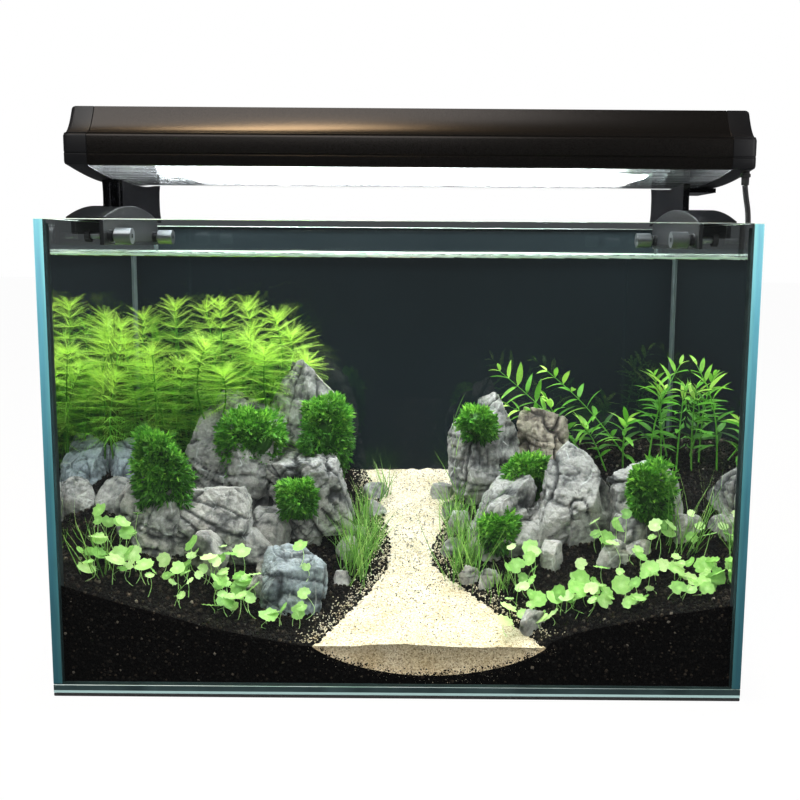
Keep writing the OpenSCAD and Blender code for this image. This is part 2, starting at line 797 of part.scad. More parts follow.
levelling_mat();
bottom_pane();
front_pane();
back_pane();
left_pane();
right_pane();
silicone_beads();
background_film();
soil_bed();
sand_path();
rock_back_left();
rock_pointed();
rock_triangle();
rock_crown_left();
rock_crown_middle();
rock_ledge();
rock_low_left();
rock_cluster_right();
rock_porous();
rock_slab_middle();
rock_slab_right();
rock_ragged();
feather_plants();
willow_stems();
hairgrass_left();
hairgrass_right();
pennywort_left();
pennywort_right();
moss_left();
moss_right();
lamp_housing();
end_cap_left();
end_cap_right();
reflector();
led_board();
led_chips();
driver_box();
splash_cover();
cap_screws();
strain_relief();
leg_left();
leg_right();
foot_left();
foot_right();
rim_liners();
pad_left_front();
pad_left_back();
pad_right_front();
pad_right_back();
knob_left_front();
knob_left_back();
knob_right_front();
knob_right_back();
power_cord();
cord_coil();
cord_tie();
plug_body();
plug_pins();
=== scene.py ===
"""A planted rimless tank with a hood lamp on two rim brackets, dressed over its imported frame.

Lengths are metres, +Z is up, and the tank's middle stands over the origin. Every new piece is a
surface worked out with numpy: a grid of two parameters, a profile carried along a path, or a small
shape repeated by an array of turns and places.
"""
import math

import bpy
import numpy as np
from mathutils import Matrix, Vector
from mathutils.bvhtree import BVHTree


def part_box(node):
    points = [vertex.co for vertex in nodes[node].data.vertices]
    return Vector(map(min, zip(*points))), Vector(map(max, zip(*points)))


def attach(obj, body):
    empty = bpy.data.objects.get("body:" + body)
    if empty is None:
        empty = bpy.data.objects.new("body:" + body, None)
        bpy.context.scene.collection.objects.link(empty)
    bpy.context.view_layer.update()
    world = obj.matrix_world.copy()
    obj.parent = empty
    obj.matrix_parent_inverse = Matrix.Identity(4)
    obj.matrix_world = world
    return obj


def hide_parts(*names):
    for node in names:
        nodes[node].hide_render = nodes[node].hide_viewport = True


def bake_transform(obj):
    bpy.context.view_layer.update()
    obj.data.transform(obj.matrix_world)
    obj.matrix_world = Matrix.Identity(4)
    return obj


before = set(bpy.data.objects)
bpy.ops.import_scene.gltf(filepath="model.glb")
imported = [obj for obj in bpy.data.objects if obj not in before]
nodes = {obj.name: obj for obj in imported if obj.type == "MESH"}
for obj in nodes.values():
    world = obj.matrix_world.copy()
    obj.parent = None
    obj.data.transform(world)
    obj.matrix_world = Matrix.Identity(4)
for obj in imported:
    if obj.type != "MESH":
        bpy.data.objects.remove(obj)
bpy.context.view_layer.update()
MM = 0.001
TAU = 2 * math.pi


# ---------- camera ----------

def place_camera():
    """A nearly level lens just above the water line, shifted to frame the tank."""
    pitch, roll, yaw = math.radians(6.853), math.radians(-0.417), math.radians(-0.075)
    ahead = Vector((math.sin(yaw) * math.cos(pitch), math.cos(yaw) * math.cos(pitch), -math.sin(pitch)))
    side = Vector((math.cos(yaw), -math.sin(yaw), 0))
    down = ahead.cross(side)
    right = side * math.cos(roll) + down * math.sin(roll)
    down = -side * math.sin(roll) + down * math.cos(roll)
    data = bpy.data.cameras.new("camera")
    data.sensor_width = 36
    data.lens = 40.14
    data.shift_x, data.shift_y = -0.0275, -0.0609
    data.clip_start, data.clip_end = 0.01, 50
    cam = bpy.data.objects.new("camera", data)
    bpy.context.scene.collection.objects.link(cam)
    m = Matrix((right, -down, -ahead)).transposed().to_4x4()
    m.translation = Vector((0.0209, -0.898, 0.395))
    cam.matrix_world = m
    bpy.context.scene.camera = cam


place_camera()


# ---------- small tools ----------

def box_of(*names):
    """The lowest and highest corners of one or more frame nodes, as arrays."""
    lows, highs = zip(*[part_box(n) for n in names])
    return np.min(np.array(lows), 0), np.max(np.array(highs), 0)


def chance(seed):
    return np.random.default_rng(seed)


def lattice(i, seed):
    """A number from 0 to 1 for every whole-number point of space, by mixing its bits."""
    i = i.astype(np.int64)
    h = i[..., 0] * 374761393 + i[..., 1] * 668265263 + i[..., 2] * 2147483647 + seed * 1274126177
    h = (h ^ (h >> 13)) * 1274126177 & 0xFFFFFFFF
    h = (h ^ (h >> 16)) * 2246822519 & 0xFFFFFFFF
    return ((h ^ (h >> 15)) & 0xFFFFFF) / 0xFFFFFF


def cloud(p, seed=0):
    """Smooth noise from 0 to 1: lattice numbers blended by an eased weight along each axis."""
    base = np.floor(p)
    f = p - base
    w = f * f * (3 - 2 * f)
    total = 0
    for dx in (0, 1):
        for dy in (0, 1):
            for dz in (0, 1):
                share = np.where(dx, w[..., 0], 1 - w[..., 0]) * np.where(dy, w[..., 1], 1 - w[..., 1])
                share = share * np.where(dz, w[..., 2], 1 - w[..., 2])
                total = total + share * lattice(base + np.array([dx, dy, dz]), seed)
    return total


def clouds(p, octaves=4, seed=0):
    """Noise of several sizes: each octave is half as large and half as strong as the one before."""
    total, weight = 0, 0
    for k in range(octaves):
        total = total + cloud(p * 2**k + 17.3 * k, seed + k) * 0.5**k
        weight += 0.5**k
    return total / weight


def grid_quads(rows, cols, wrap=False):
    """The four-cornered faces of a grid of points; wrap joins the last column to the first."""
    i, j = np.meshgrid(np.arange(rows - 1), np.arange(cols if wrap else cols - 1), indexing="ij")
    k = (j + 1) % cols
    return np.stack([i * cols + j, i * cols + k, (i + 1) * cols + k, (i + 1) * cols + j], -1).reshape(-1, 4)


def tris(quads):
    """Quads cut into triangles."""
    q = np.asarray(quads)
    return np.concatenate([q[:, [0, 1, 2]], q[:, [0, 2, 3]]])


def mesh_object(name, points, faces, smooth=True, tone=None, uv=None):
    """Puts arrays of points and of faces with one number of corners into a mesh object."""
    points, faces = np.asarray(points, np.float32), np.asarray(faces, np.int32)
    me = bpy.data.meshes.new(name)
    me.vertices.add(len(points))
    me.vertices.foreach_set("co", points.ravel())
    me.loops.add(faces.size)
    me.loops.foreach_set("vertex_index", faces.ravel())
    me.polygons.add(len(faces))
    me.polygons.foreach_set("loop_start", np.arange(0, faces.size, faces.shape[1], dtype=np.int32))
    me.polygons.foreach_set("use_smooth", np.full(len(faces), smooth))
    if tone is not None:
        me.attributes.new("tone", "FLOAT", "POINT").data.foreach_set("value", np.asarray(tone, np.float32))
    if uv is not None:
        layer = me.uv_layers.new(name="UVMap")
        layer.data.foreach_set("uv", np.asarray(uv, np.float32)[faces.ravel()].ravel())
    me.update(calc_edges=True)
    o = bpy.data.objects.new(name, me)
    bpy.context.scene.collection.objects.link(o)
    return o


def dress(o, material, body, slot, *stands_for):
    """Gives a piece its material and its body, and hides the nodes that it stands for. The slot argument is not
    used.
    """
    if material is not None:
        o.data.materials.clear()
        o.data.materials.append(material)
    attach(o, body)
    if stands_for:
        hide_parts(*stands_for)
    return o


def tube(path, radius, sides=10):
    """A round skin round a path: a ring across the path's direction at each point, both ends closed."""
    path = np.asarray(path, float)
    way = np.gradient(path, axis=0)
    way /= np.linalg.norm(way, axis=1)[:, None]
    across = np.zeros_like(path)
    hint = np.array([0, 1.0, 0]) if abs(way[0, 2]) > 0.9 else np.array([0, 0, 1.0])
    across[0] = np.cross(hint, way[0])
    across[0] /= np.linalg.norm(across[0])
    for i in range(1, len(path)):
        a = across[i - 1] - way[i] * (across[i - 1] @ way[i])
        across[i] = a / np.linalg.norm(a)
    over = np.cross(way, across)
    t = np.arange(sides) * TAU / sides
    r = np.broadcast_to(np.asarray(radius, float).reshape(-1, 1, 1), (len(path), 1, 1))
    rings = path[:, None] + r * (across[:, None] * np.cos(t)[:, None] + over[:, None] * np.sin(t)[:, None])
    n = len(path)
    points = np.concatenate([rings.reshape(-1, 3), path[:1], path[-1:]])
    j = np.arange(sides)
    k = (j + 1) % sides
    ends = [np.stack([np.full(sides, n * sides), k, j], 1),
            np.stack([np.full(sides, n * sides + 1), (n - 1) * sides + j, (n - 1) * sides + k], 1)]
    return points, np.concatenate([tris(grid_quads(n, sides, True)), *ends])


# ---------- materials ----------

def material(name, rough=0.5, metal=0.0, colour=(0.5, 0.5, 0.5), **sockets):
    """A new node material with one Principled shader; returns the material, its tree and the shader."""
    m = bpy.data.materials.new(name)
    m.use_nodes = True
    nt = m.node_tree
    p = nt.nodes["Principled BSDF"]
    p.inputs["Base Color"].default_value = (*colour, 1)
    p.inputs["Roughness"].default_value = rough
    p.inputs["Metallic"].default_value = metal
    for k, v in sockets.items():
        p.inputs[k.replace("_", " ")].default_value = v
    return m, nt, p


def add(nt, kind, **values):
    """A node of that kind, with properties and input values set by name."""
    n = nt.nodes.new(kind)
    for k, v in values.items():
        if k in n.inputs:
            n.inputs[k].default_value = v
        elif k.replace("_", " ") in n.inputs:
            n.inputs[k.replace("_", " ")].default_value = v
        else:
            setattr(n, k, v)
    return n


def at_object(nt, scale=(1, 1, 1)):
    """Object coordinates, stretched by scale."""
    c = nt.nodes.new("ShaderNodeTexCoord")
    m = nt.nodes.new("ShaderNodeMapping")
    m.inputs["Scale"].default_value = scale
    nt.links.new(c.outputs["Object"], m.inputs["Vector"])
    return m.outputs["Vector"]


def noise(nt, scale, detail=4, rough=0.5, where=None, distort=0.0):
    n = add(nt, "ShaderNodeTexNoise", Scale=scale, Detail=detail, Roughness=rough, Distortion=distort)
    nt.links.new(where or at_object(nt), n.inputs["Vector"])
    return n.outputs["Fac"]


def cells(nt, scale, feature="F1", where=None, out="Distance"):
    n = add(nt, "ShaderNodeTexVoronoi", feature=feature, Scale=scale)
    nt.links.new(where or at_object(nt), n.inputs["Vector"])
    return n.outputs[out]


def ramp(nt, source, *stops):
    """Colours along a source value: each stop is (place, colour)."""
    r = nt.nodes.new("ShaderNodeValToRGB")
    e = r.color_ramp.elements
    while len(e) < len(stops):
        e.new(0.5)
    for el, (at, c) in zip(e, stops):
        el.position = at
        el.color = (*c, 1) if len(c) == 3 else c
    nt.links.new(source, r.inputs["Fac"])
    return r.outputs["Color"]


def grey(v):
    return (v, v, v)


def blend_colour(nt, fac, a, b, how="MIX"):
    """Two colours mixed by a factor; each may be a colour or a socket."""
    n = add(nt, "ShaderNodeMix", data_type="RGBA", blend_type=how)
    for socket, v in ((n.inputs[0], fac), (n.inputs[6], a), (n.inputs[7], b)):
        if isinstance(v, bpy.types.NodeSocket):
            nt.links.new(v, socket)
        elif isinstance(v, (int, float)):
            socket.default_value = v
        else:
            socket.default_value = (*v, 1)
    return n.outputs[2]


def sums(nt, how, a, b):
    """One Math node on two values or sockets."""
    n = add(nt, "ShaderNodeMath", operation=how)
    for socket, v in ((n.inputs[0], a), (n.inputs[1], b)):
        if isinstance(v, bpy.types.NodeSocket):
            nt.links.new(v, socket)
        else:
            socket.default_value = v
    return n.outputs[0]


def bump(nt, p, height, depth, strength=1.0):
    b = add(nt, "ShaderNodeBump", Strength=strength, Distance=depth)
    nt.links.new(height, b.inputs["Height"])
    nt.links.new(b.outputs["Normal"], p.inputs["Normal"])


def to_range(nt, source, low, high):
    """A value from 0 to 1 spread over low to high."""
    n = add(nt, "ShaderNodeMapRange")
    n.inputs["To Min"].default_value = low
    n.inputs["To Max"].default_value = high
    nt.links.new(source, n.inputs["Value"])
    return n.outputs[0]


def lets_light_by(m, nt, p, tint=(1, 1, 1)):
    """Lets the light of lamps straight through a clear shader, so what is behind it is lit."""
    path = nt.nodes.new("ShaderNodeLightPath")
    through = nt.nodes.new("ShaderNodeBsdfTransparent")
    through.inputs["Color"].default_value = (*tint, 1)
    mix = nt.nodes.new("ShaderNodeMixShader")
    nt.links.new(path.outputs["Is Shadow Ray"], mix.inputs[0])
    nt.links.new(p.outputs[0], mix.inputs[1])
    nt.links.new(through.outputs[0], mix.inputs[2])
    nt.links.new(mix.outputs[0], nt.nodes["Material Output"].inputs["Surface"])
    return m


def clear_glass(name, colour=(0.97, 1, 0.99), ior=1.5, rough=0.0, wave=0.0):
    m, nt, p = material(name, rough, 0, colour, Transmission_Weight=1.0, IOR=ior)
    if wave:
        bump(nt, p, noise(nt, 55, 3), wave, 0.6)
    else:
        nt.links.new(to_range(nt, noise(nt, 30, 3), rough, rough + 0.004), p.inputs["Roughness"])
    return lets_light_by(m, nt, p, colour)


def pane_edge_painted_light():
    """The polished edge of a pane, teal where its iron shows, with painted light: sky blue and glowing high up,
    dark teal low, and pale painted highlights along its borders.
    """
    m, nt, p = material("pane_edge_painted_light", 0.12, 0, (0.12, 0.4, 0.46), IOR=1.5)
    xyz = add(nt, "ShaderNodeSeparateXYZ")
    nt.links.new(at_object(nt), xyz.inputs[0])
    # painted light: the colour brightens with height, towards the lamp
    high = to_range(nt, sums(nt, "MULTIPLY", xyz.outputs[2], 2.4), 0, 1)
    c = ramp(nt, high, (0.0, (0.03, 0.08, 0.09)), (0.45, (0.06, 0.16, 0.18)), (0.8, (0.16, 0.36, 0.4)),
             (1.0, (0.3, 0.55, 0.6)))
    # pale painted highlights along both faces of the edge
    side = sums(nt, "ABSOLUTE", xyz.outputs[0], 0)
    deep = sums(nt, "MULTIPLY", sums(nt, "SUBTRACT", 0.3, side), 125)
    rim = ramp(nt, deep, (0.0, (0.75, 0.9, 0.95)), (0.16, (0.35, 0.6, 0.7)), (0.5, (0.3, 0.55, 0.66)),
               (0.82, (0.55, 0.8, 0.78)), (1.0, (0.8, 0.95, 0.9)))
    c = blend_colour(nt, 0.45, c, rim, "OVERLAY")
    streak = noise(nt, 1.0, 4, 0.6, at_object(nt, (400, 400, 18)))
    streaks = ramp(nt, streak, (0.3, (0.03, 0.1, 0.12)), (0.7, (0.4, 0.75, 0.8)))
    c = blend_colour(nt, 0.2, c, streaks, "OVERLAY")
    nt.links.new(c, p.inputs["Base Color"])
    # a painted glow that grows with height
    nt.links.new(c, p.inputs["Emission Color"])
    nt.links.new(sums(nt, "MULTIPLY", high, 0.3), p.inputs["Emission Strength"])
    return m


def rim_edge():
    """The top edge of a pane: nearly white green where it catches the lamp."""
    m, nt, p = material("rim_edge", 0.15, 0, (0.5, 0.75, 0.68), IOR=1.5)
    c = ramp(nt, noise(nt, 14, 4), (0.3, (0.45, 0.75, 0.6)), (0.55, (0.8, 0.93, 0.88)),
             (0.8, (0.62, 0.78, 0.82)))
    nt.links.new(c, p.inputs["Base Color"])
    return m


def joint_edge():
    """The glued edge of a pane, seen through the glass in front of it: dark teal."""
    m, nt, p = material("joint_edge", 0.4, 0, (0.02, 0.05, 0.052), IOR=1.5)
    xyz = add(nt, "ShaderNodeSeparateXYZ")
    nt.links.new(at_object(nt), xyz.inputs[0])
    low = to_range(nt, sums(nt, "MULTIPLY", sums(nt, "SUBTRACT", 0.0058, xyz.outputs[2]), 2500), 0, 1)
    c = ramp(nt, noise(nt, 40, 3), (0.3, (0.014, 0.032, 0.034)), (0.7, (0.035, 0.07, 0.07)))
    c = blend_colour(nt, low, c, (0.42, 0.62, 0.6))
    nt.links.new(c, p.inputs["Base Color"])
    return m


def water_rim():
    """Where the water climbs the glass: a pale green line that gathers the lamp's light."""
    m, nt, p = material("water_rim", 0.2, 0, (0.55, 0.75, 0.6), Transmission_Weight=0.3, IOR=1.333)
    c = ramp(nt, noise(nt, 22, 4), (0.3, (0.4, 0.62, 0.46)), (0.55, (0.75, 0.92, 0.8)),
             (0.8, (0.5, 0.7, 0.62)))
    nt.links.new(c, p.inputs["Base Color"])
    nt.links.new(c, p.inputs["Emission Color"])
    p.inputs["Emission Strength"].default_value = 0.25
    return m


def black_foam():
    m, nt, p = material("black_foam", 0.85, 0, (0.015, 0.016, 0.018))
    c = cells(nt, 900)
    nt.links.new(ramp(nt, c, (0.0, grey(0.006)), (0.6, grey(0.03))), p.inputs["Base Color"])
    bump(nt, p, c, 0.0006, 0.6)
    return m


def silicone():
    m, nt, p = material("silicone", 0.45, 0, (0.2, 0.26, 0.26), Transmission_Weight=0.5, IOR=1.36)
    nt.links.new(ramp(nt, noise(nt, 60, 3), (0.3, (0.03, 0.045, 0.045)), (0.7, (0.06, 0.08, 0.08))),
                 p.inputs["Base Color"])
    return lets_light_by(m, nt, p, (0.8, 0.85, 0.85))


def dark_film(water):
    """The black film behind the tank: greyer above the water line, where no water wets the glass; that grey is
    painted light.
    """
    m, nt, p = material("dark_film", 0.6, 0, (0.01, 0.015, 0.018))
    p.inputs["Specular IOR Level"].default_value = 0.1
    z = add(nt, "ShaderNodeSeparateXYZ")
    nt.links.new(at_object(nt), z.inputs[0])
    painted_light_above = add(nt, "ShaderNodeMapRange")
    painted_light_above.inputs["From Min"].default_value = water - 0.002
    painted_light_above.inputs["From Max"].default_value = water + 0.002
    nt.links.new(z.outputs[2], painted_light_above.inputs["Value"])
    shade = ramp(nt, noise(nt, 4, 3), (0.3, (0.005, 0.008, 0.010)), (0.75, (0.009, 0.014, 0.018)))
    # painted light: above the water line the film is greyer
    painted_grey_above = ramp(nt, noise(nt, 7, 3), (0.3, (0.03, 0.042, 0.05)), (0.75, (0.044, 0.058, 0.066)))
    nt.links.new(blend_colour(nt, painted_light_above.outputs[0], shade, painted_grey_above), p.inputs["Base Color"])
    return m


def soil_grain():
    """Fired black soil balls: near black with brown ones here and there."""
    m, nt, p = material("soil_grain", 0.78)
    tone = add(nt, "ShaderNodeAttribute", attribute_name="tone").outputs["Fac"]
    p.inputs["Specular IOR Level"].default_value = 0.1
    c = ramp(nt, tone, (0.0, (0.001, 0.0009, 0.0008)), (0.6, (0.006, 0.005, 0.004)),
             (0.86, (0.02, 0.015, 0.011)), (0.975, (0.05, 0.037, 0.026)), (1.0, (0.2, 0.17, 0.14)))
    nt.links.new(c, p.inputs["Base Color"])
    bump(nt, p, noise(nt, 1800, 3), 0.0003, 0.7)
    return m


def soil_mass():
    m, nt, p = material("soil_mass", 0.9, 0, (0.002, 0.0015, 0.001))
    p.inputs["Specular IOR Level"].default_value = 0.05
    c = cells(nt, 420)
    shade = ramp(nt, c, (0.1, (0.008, 0.006, 0.005)), (0.7, (0.002, 0.0015, 0.001)))
    nt.links.new(shade, p.inputs["Base Color"])
    bump(nt, p, c, 0.0015, 1.0)
    return m


def pale_sand():
    """Pale quartz sand: cream grains about a millimetre across, browner on the face that the front pane cuts,
    where a painted glow stands for light coming through the sand.
    """
    m, nt, p = material("pale_sand", 0.7)
    grains = cells(nt, 950, out="Color")
    tone = add(nt, "ShaderNodeSeparateColor")
    nt.links.new(grains, tone.inputs[0])
    c = ramp(nt, tone.outputs[0], (0.0, (0.26, 0.2, 0.12)), (0.14, (0.5, 0.42, 0.29)),
             (0.5, (0.66, 0.58, 0.44)), (1.0, (0.86, 0.8, 0.68)))
    wide = ramp(nt, noise(nt, 45, 4), (0.3, (0.86, 0.81, 0.7)), (0.65, (1, 1, 1)))
    c = blend_colour(nt, 1.0, c, wide, "MULTIPLY")
    cut = add(nt, "ShaderNodeAttribute", attribute_name="tone").outputs["Fac"]
    deep = ramp(nt, noise(nt, 240, 5), (0.22, (0.4, 0.32, 0.22)), (0.55, (0.88, 0.78, 0.6)))
    c = blend_colour(nt, cut, c, blend_colour(nt, 0.2, c, deep, "MULTIPLY"))
    nt.links.new(c, p.inputs["Base Color"])
    # painted glow on the cut face, strongest low down: light through the sand
    nt.links.new(c, p.inputs["Emission Color"])
    nt.links.new(sums(nt, "MULTIPLY", cut, 0.3), p.inputs["Emission Strength"])
    bump(nt, p, cells(nt, 950), 0.0007, 0.9)
    return m


def craggy_stone(name, dark, mid, light, vein=0.55):
    """Grey limestone coloured by how open each point lies, with painted shade and light: dark creases, mid grey
    faces, pale open ridges; and thin white veins.
    """
    m, nt, p = material(name, 0.82)
    # the tone is how open each point lies: low tone paints shade into the creases, high tone paints light on the
    # ridges
    crease = add(nt, "ShaderNodeAttribute", attribute_name="tone").outputs["Fac"]
    patch = noise(nt, 26, 6, 0.62)
    c = ramp(nt, sums(nt, "ADD", sums(nt, "MULTIPLY", crease, 0.6), sums(nt, "MULTIPLY", patch, 0.5)),
             (0.2, dark), (0.42, mid), (0.68, light))
    lines = ramp(nt, cells(nt, 30, "DISTANCE_TO_EDGE", at_object(nt, (1, 1, 0.6))),
                 (0.0, grey(1)), (0.022, grey(0)))
    broken = ramp(nt, noise(nt, 60, 4), (0.5, grey(0)), (0.62, grey(vein)))
    c = blend_colour(nt, sums(nt, "MULTIPLY", lines, broken), c, (0.72, 0.73, 0.72))
    speckle = ramp(nt, noise(nt, 380, 5, 0.7), (0.3, grey(0.25)), (0.7, grey(0.75)))
    c = blend_colour(nt, 0.5, c, speckle, "OVERLAY")
    nt.links.new(c, p.inputs["Base Color"])
    cracks = sums(nt, "MULTIPLY", cells(nt, 130, "DISTANCE_TO_EDGE"), 1.4)
    h = sums(nt, "ADD", noise(nt, 160, 8, 0.68), cracks)
    bump(nt, p, h, 0.0019, 0.9)
    return m


def leaf(name, dark, mid, light, rough=0.45, glow=0.45):
    """A thin leaf: its own tone picks the green, and part of the light comes through from behind."""
    m, nt, p = material(name, rough)
    tone = add(nt, "ShaderNodeAttribute", attribute_name="tone").outputs["Fac"]
    c = ramp(nt, tone, (0.0, dark), (0.5, mid), (1.0, light))
    c = blend_colour(nt, 0.3, c, ramp(nt, noise(nt, 300, 3), (0.3, grey(0.3)), (0.7, grey(0.7))), "OVERLAY")
    nt.links.new(c, p.inputs["Base Color"])
    back = nt.nodes.new("ShaderNodeBsdfTranslucent")
    nt.links.new(c, back.inputs["Color"])
    mix = nt.nodes.new("ShaderNodeMixShader")
    mix.inputs[0].default_value = glow
    nt.links.new(p.outputs[0], mix.inputs[1])
    nt.links.new(back.outputs[0], mix.inputs[2])
    nt.links.new(mix.outputs[0], nt.nodes["Material Output"].inputs["Surface"])
    return m


def satin_black(name, colour, rough, grain, size=1400, metal=0.0, shine=0.5):
    """A dark finish with a fine even grain in its colour, roughness and surface."""
    m, nt, p = material(name, rough, metal, colour)
    p.inputs["Specular IOR Level"].default_value = shine
    g = noise(nt, size, 4, 0.6)
    lo, hi = [tuple(x * k for x in colour) for k in (0.7, 1.35)]
    nt.links.new(ramp(nt, g, (0.3, lo), (0.7, hi)), p.inputs["Base Color"])
    nt.links.new(to_range(nt, g, rough - 0.05, rough + 0.08), p.inputs["Roughness"])
    bump(nt, p, g, grain, 0.5)
    return m


def lit_reflector():
    """Hammered bright sheet flooded by the diodes; dim at its unlit right end."""
    m, nt, p = material("lit_reflector", 0.25, 0.9, (0.9, 0.92, 0.94))
    dent = cells(nt, 130)
    bump(nt, p, dent, 0.002, 0.8)
    x = add(nt, "ShaderNodeSeparateXYZ")
    nt.links.new(at_object(nt), x.inputs[0])
    end = add(nt, "ShaderNodeMapRange")
    end.inputs["From Min"].default_value = 0.215
    end.inputs["From Max"].default_value = 0.255
    end.inputs["To Min"].default_value = 6.0
    end.inputs["To Max"].default_value = 0.25
    nt.links.new(x.outputs[0], end.inputs["Value"])
    p.inputs["Emission Color"].default_value = (0.93, 0.97, 1, 1)
    nt.links.new(end.outputs[0], p.inputs["Emission Strength"])
    return m


def lit_diode():
    m, nt, p = material("lit_diode", 0.3, 0, (1, 0.97, 0.85))
    c = ramp(nt, cells(nt, 600), (0.0, (1, 0.98, 0.92)), (0.8, (0.95, 0.97, 1)))
    nt.links.new(c, p.inputs["Emission Color"])
    p.inputs["Emission Strength"].default_value = 12
    return m


def turned_metal(name, colour=(0.5, 0.52, 0.52), rough=0.34):
    m, nt, p = material(name, rough, 1.0, colour)
    g = noise(nt, 1.0, 3, 0.5, at_object(nt, (3000, 150, 150)))
    nt.links.new(to_range(nt, g, rough - 0.08, rough + 0.12), p.inputs["Roughness"])
    bump(nt, p, g, 0.00012, 0.5)
    return m


WATER_Z = 0.3833
glass_m = clear_glass("pane_glass")
painted_light_edge_m = pane_edge_painted_light()
rim_m = rim_edge()
joint_m = joint_edge()
cover_m = clear_glass("cover_clear", (0.96, 0.99, 1), 1.46, 0.02, 0.00015)
water_m = clear_glass("water", (0.985, 1, 0.995), 1.333)
ripple_m = clear_glass("water_top", (0.985, 1, 0.995), 1.333, 0.0, 0.004)
rim_line_m = water_rim()
foam_m = black_foam()
silicone_m = silicone()
film_m = dark_film(WATER_Z)
grain_m = soil_grain()
mass_m = soil_mass()
sand_m = pale_sand()
stone_m = craggy_stone("craggy_stone", (0.012, 0.013, 0.014), (0.1, 0.1, 0.1), (0.33, 0.32, 0.305))
blue_stone_m = craggy_stone("blue_stone", (0.01, 0.013, 0.016), (0.07, 0.086, 0.1), (0.24, 0.28, 0.31), 0.3)
brown_stone_m = craggy_stone("brown_stone", (0.014, 0.011, 0.008), (0.11, 0.09, 0.07), (0.32, 0.28, 0.22),
                             0.15)
feather_m = leaf("feather_leaf", (0.02, 0.1, 0.006), (0.14, 0.42, 0.025), (0.58, 0.86, 0.12))
willow_m = leaf("willow_leaf", (0.03, 0.12, 0.015), (0.13, 0.42, 0.03), (0.6, 0.85, 0.16))
grass_m = leaf("grass_blade", (0.04, 0.12, 0.02), (0.15, 0.36, 0.05), (0.42, 0.62, 0.16))
penny_m = leaf("penny_leaf", (0.1, 0.28, 0.04), (0.32, 0.62, 0.15), (0.68, 0.88, 0.42))
moss_m = leaf("moss_leaf", (0.006, 0.035, 0.004), (0.07, 0.28, 0.015), (0.32, 0.68, 0.07), 0.6, 0.35)
hood_m = satin_black("hood_finish", (0.03, 0.027, 0.025), 0.27, 0.00006, 2600, 0.9)
cap_m = satin_black("cap_plastic", (0.006, 0.006, 0.007), 0.36, 0.00012, 1800, shine=0.3)
bracket_m = satin_black("bracket_gloss", (0.003, 0.003, 0.0035), 0.12, 0.00005, 900, shine=0.12)
foot_m = satin_black("foot_texture", (0.007, 0.0075, 0.0085), 0.42, 0.0004, 1500, shine=0.22)
rubber_m = satin_black("soft_rubber", (0.012, 0.012, 0.012), 0.75, 0.0003, 900)
jacket_m = satin_black("cord_jacket", (0.012, 0.012, 0.013), 0.45, 0.0002, 700)
plug_m = satin_black("plug_moulding", (0.014, 0.014, 0.015), 0.3, 0.0001, 800)
reflector_m = lit_reflector()
diode_m = lit_diode()
knob_m = turned_metal("knob_metal", (0.26, 0.27, 0.28), 0.3)
steel_m = turned_metal("screw_steel", (0.45, 0.45, 0.46), 0.3)
pin_m = turned_metal("pin_metal", (0.75, 0.7, 0.55), 0.25)
board_m = satin_black("board_white", (0.8, 0.82, 0.8), 0.4, 0.0001, 300)
driver_m = satin_black("driver_case", (0.12, 0.12, 0.13), 0.5, 0.0003, 700)

NODE_FINISH = {
    "silicone_beads": silicone_m, "background_film": film_m, "led_board": board_m, "led_chips": diode_m,
    "driver_box": driver_m, "cap_screws": steel_m, "plug_pins": pin_m, "rim_liners": rubber_m,
    "splash_cover": cover_m, "reflector": reflector_m,
}
for name, finish in NODE_FINISH.items():
    nodes[name].data.materials.clear()
    nodes[name].data.materials.append(finish)


# ---------- cord ----------

def eased(points, per=6):
    """One smooth line through a given route: a curve from midpoint to midpoint, pulled by each point."""
    p = np.array(points, float)
    a = np.concatenate([p[:1], (p[1:-2] + p[2:-1]) / 2])
    c = np.concatenate([(p[1:-2] + p[2:-1]) / 2, p[-1:]])
    t = np.linspace(0, 1, per, endpoint=False)[None, :, None]
    line = a[:, None] * (1 - t) ** 2 + 2 * p[1:-1, None] * t * (1 - t) + c[:, None] * t**2
    return np.concatenate([line.reshape(-1, 3), p[-1:]])


def coil_turns(centre, turns, r_out, r_in, z0, pitch, start, per=28):
    """Turns lying on and beside each other: out, in, up one, in, out, up one, and so on."""
    k = np.arange(turns * per + 1) / per
    layer = np.floor(k / 2)
    part = k - 2 * layer
    inward = np.clip((part - 0.85) / 0.3, 0, 1)
    inward = inward * inward * (3 - 2 * inward)
    inward = np.where(layer % 2 == 0, inward, 1 - inward)
    rise = np.clip((part - 1.8) / 0.2, 0, 1)
    r = r_out + (r_in - r_out) * inward
    a = start + TAU * k
    z = z0 + pitch * (layer + rise * rise * (3 - 2 * rise))
    return np.stack([centre[0] + r * np.cos(a), centre[1] + r * np.sin(a), z], 1)


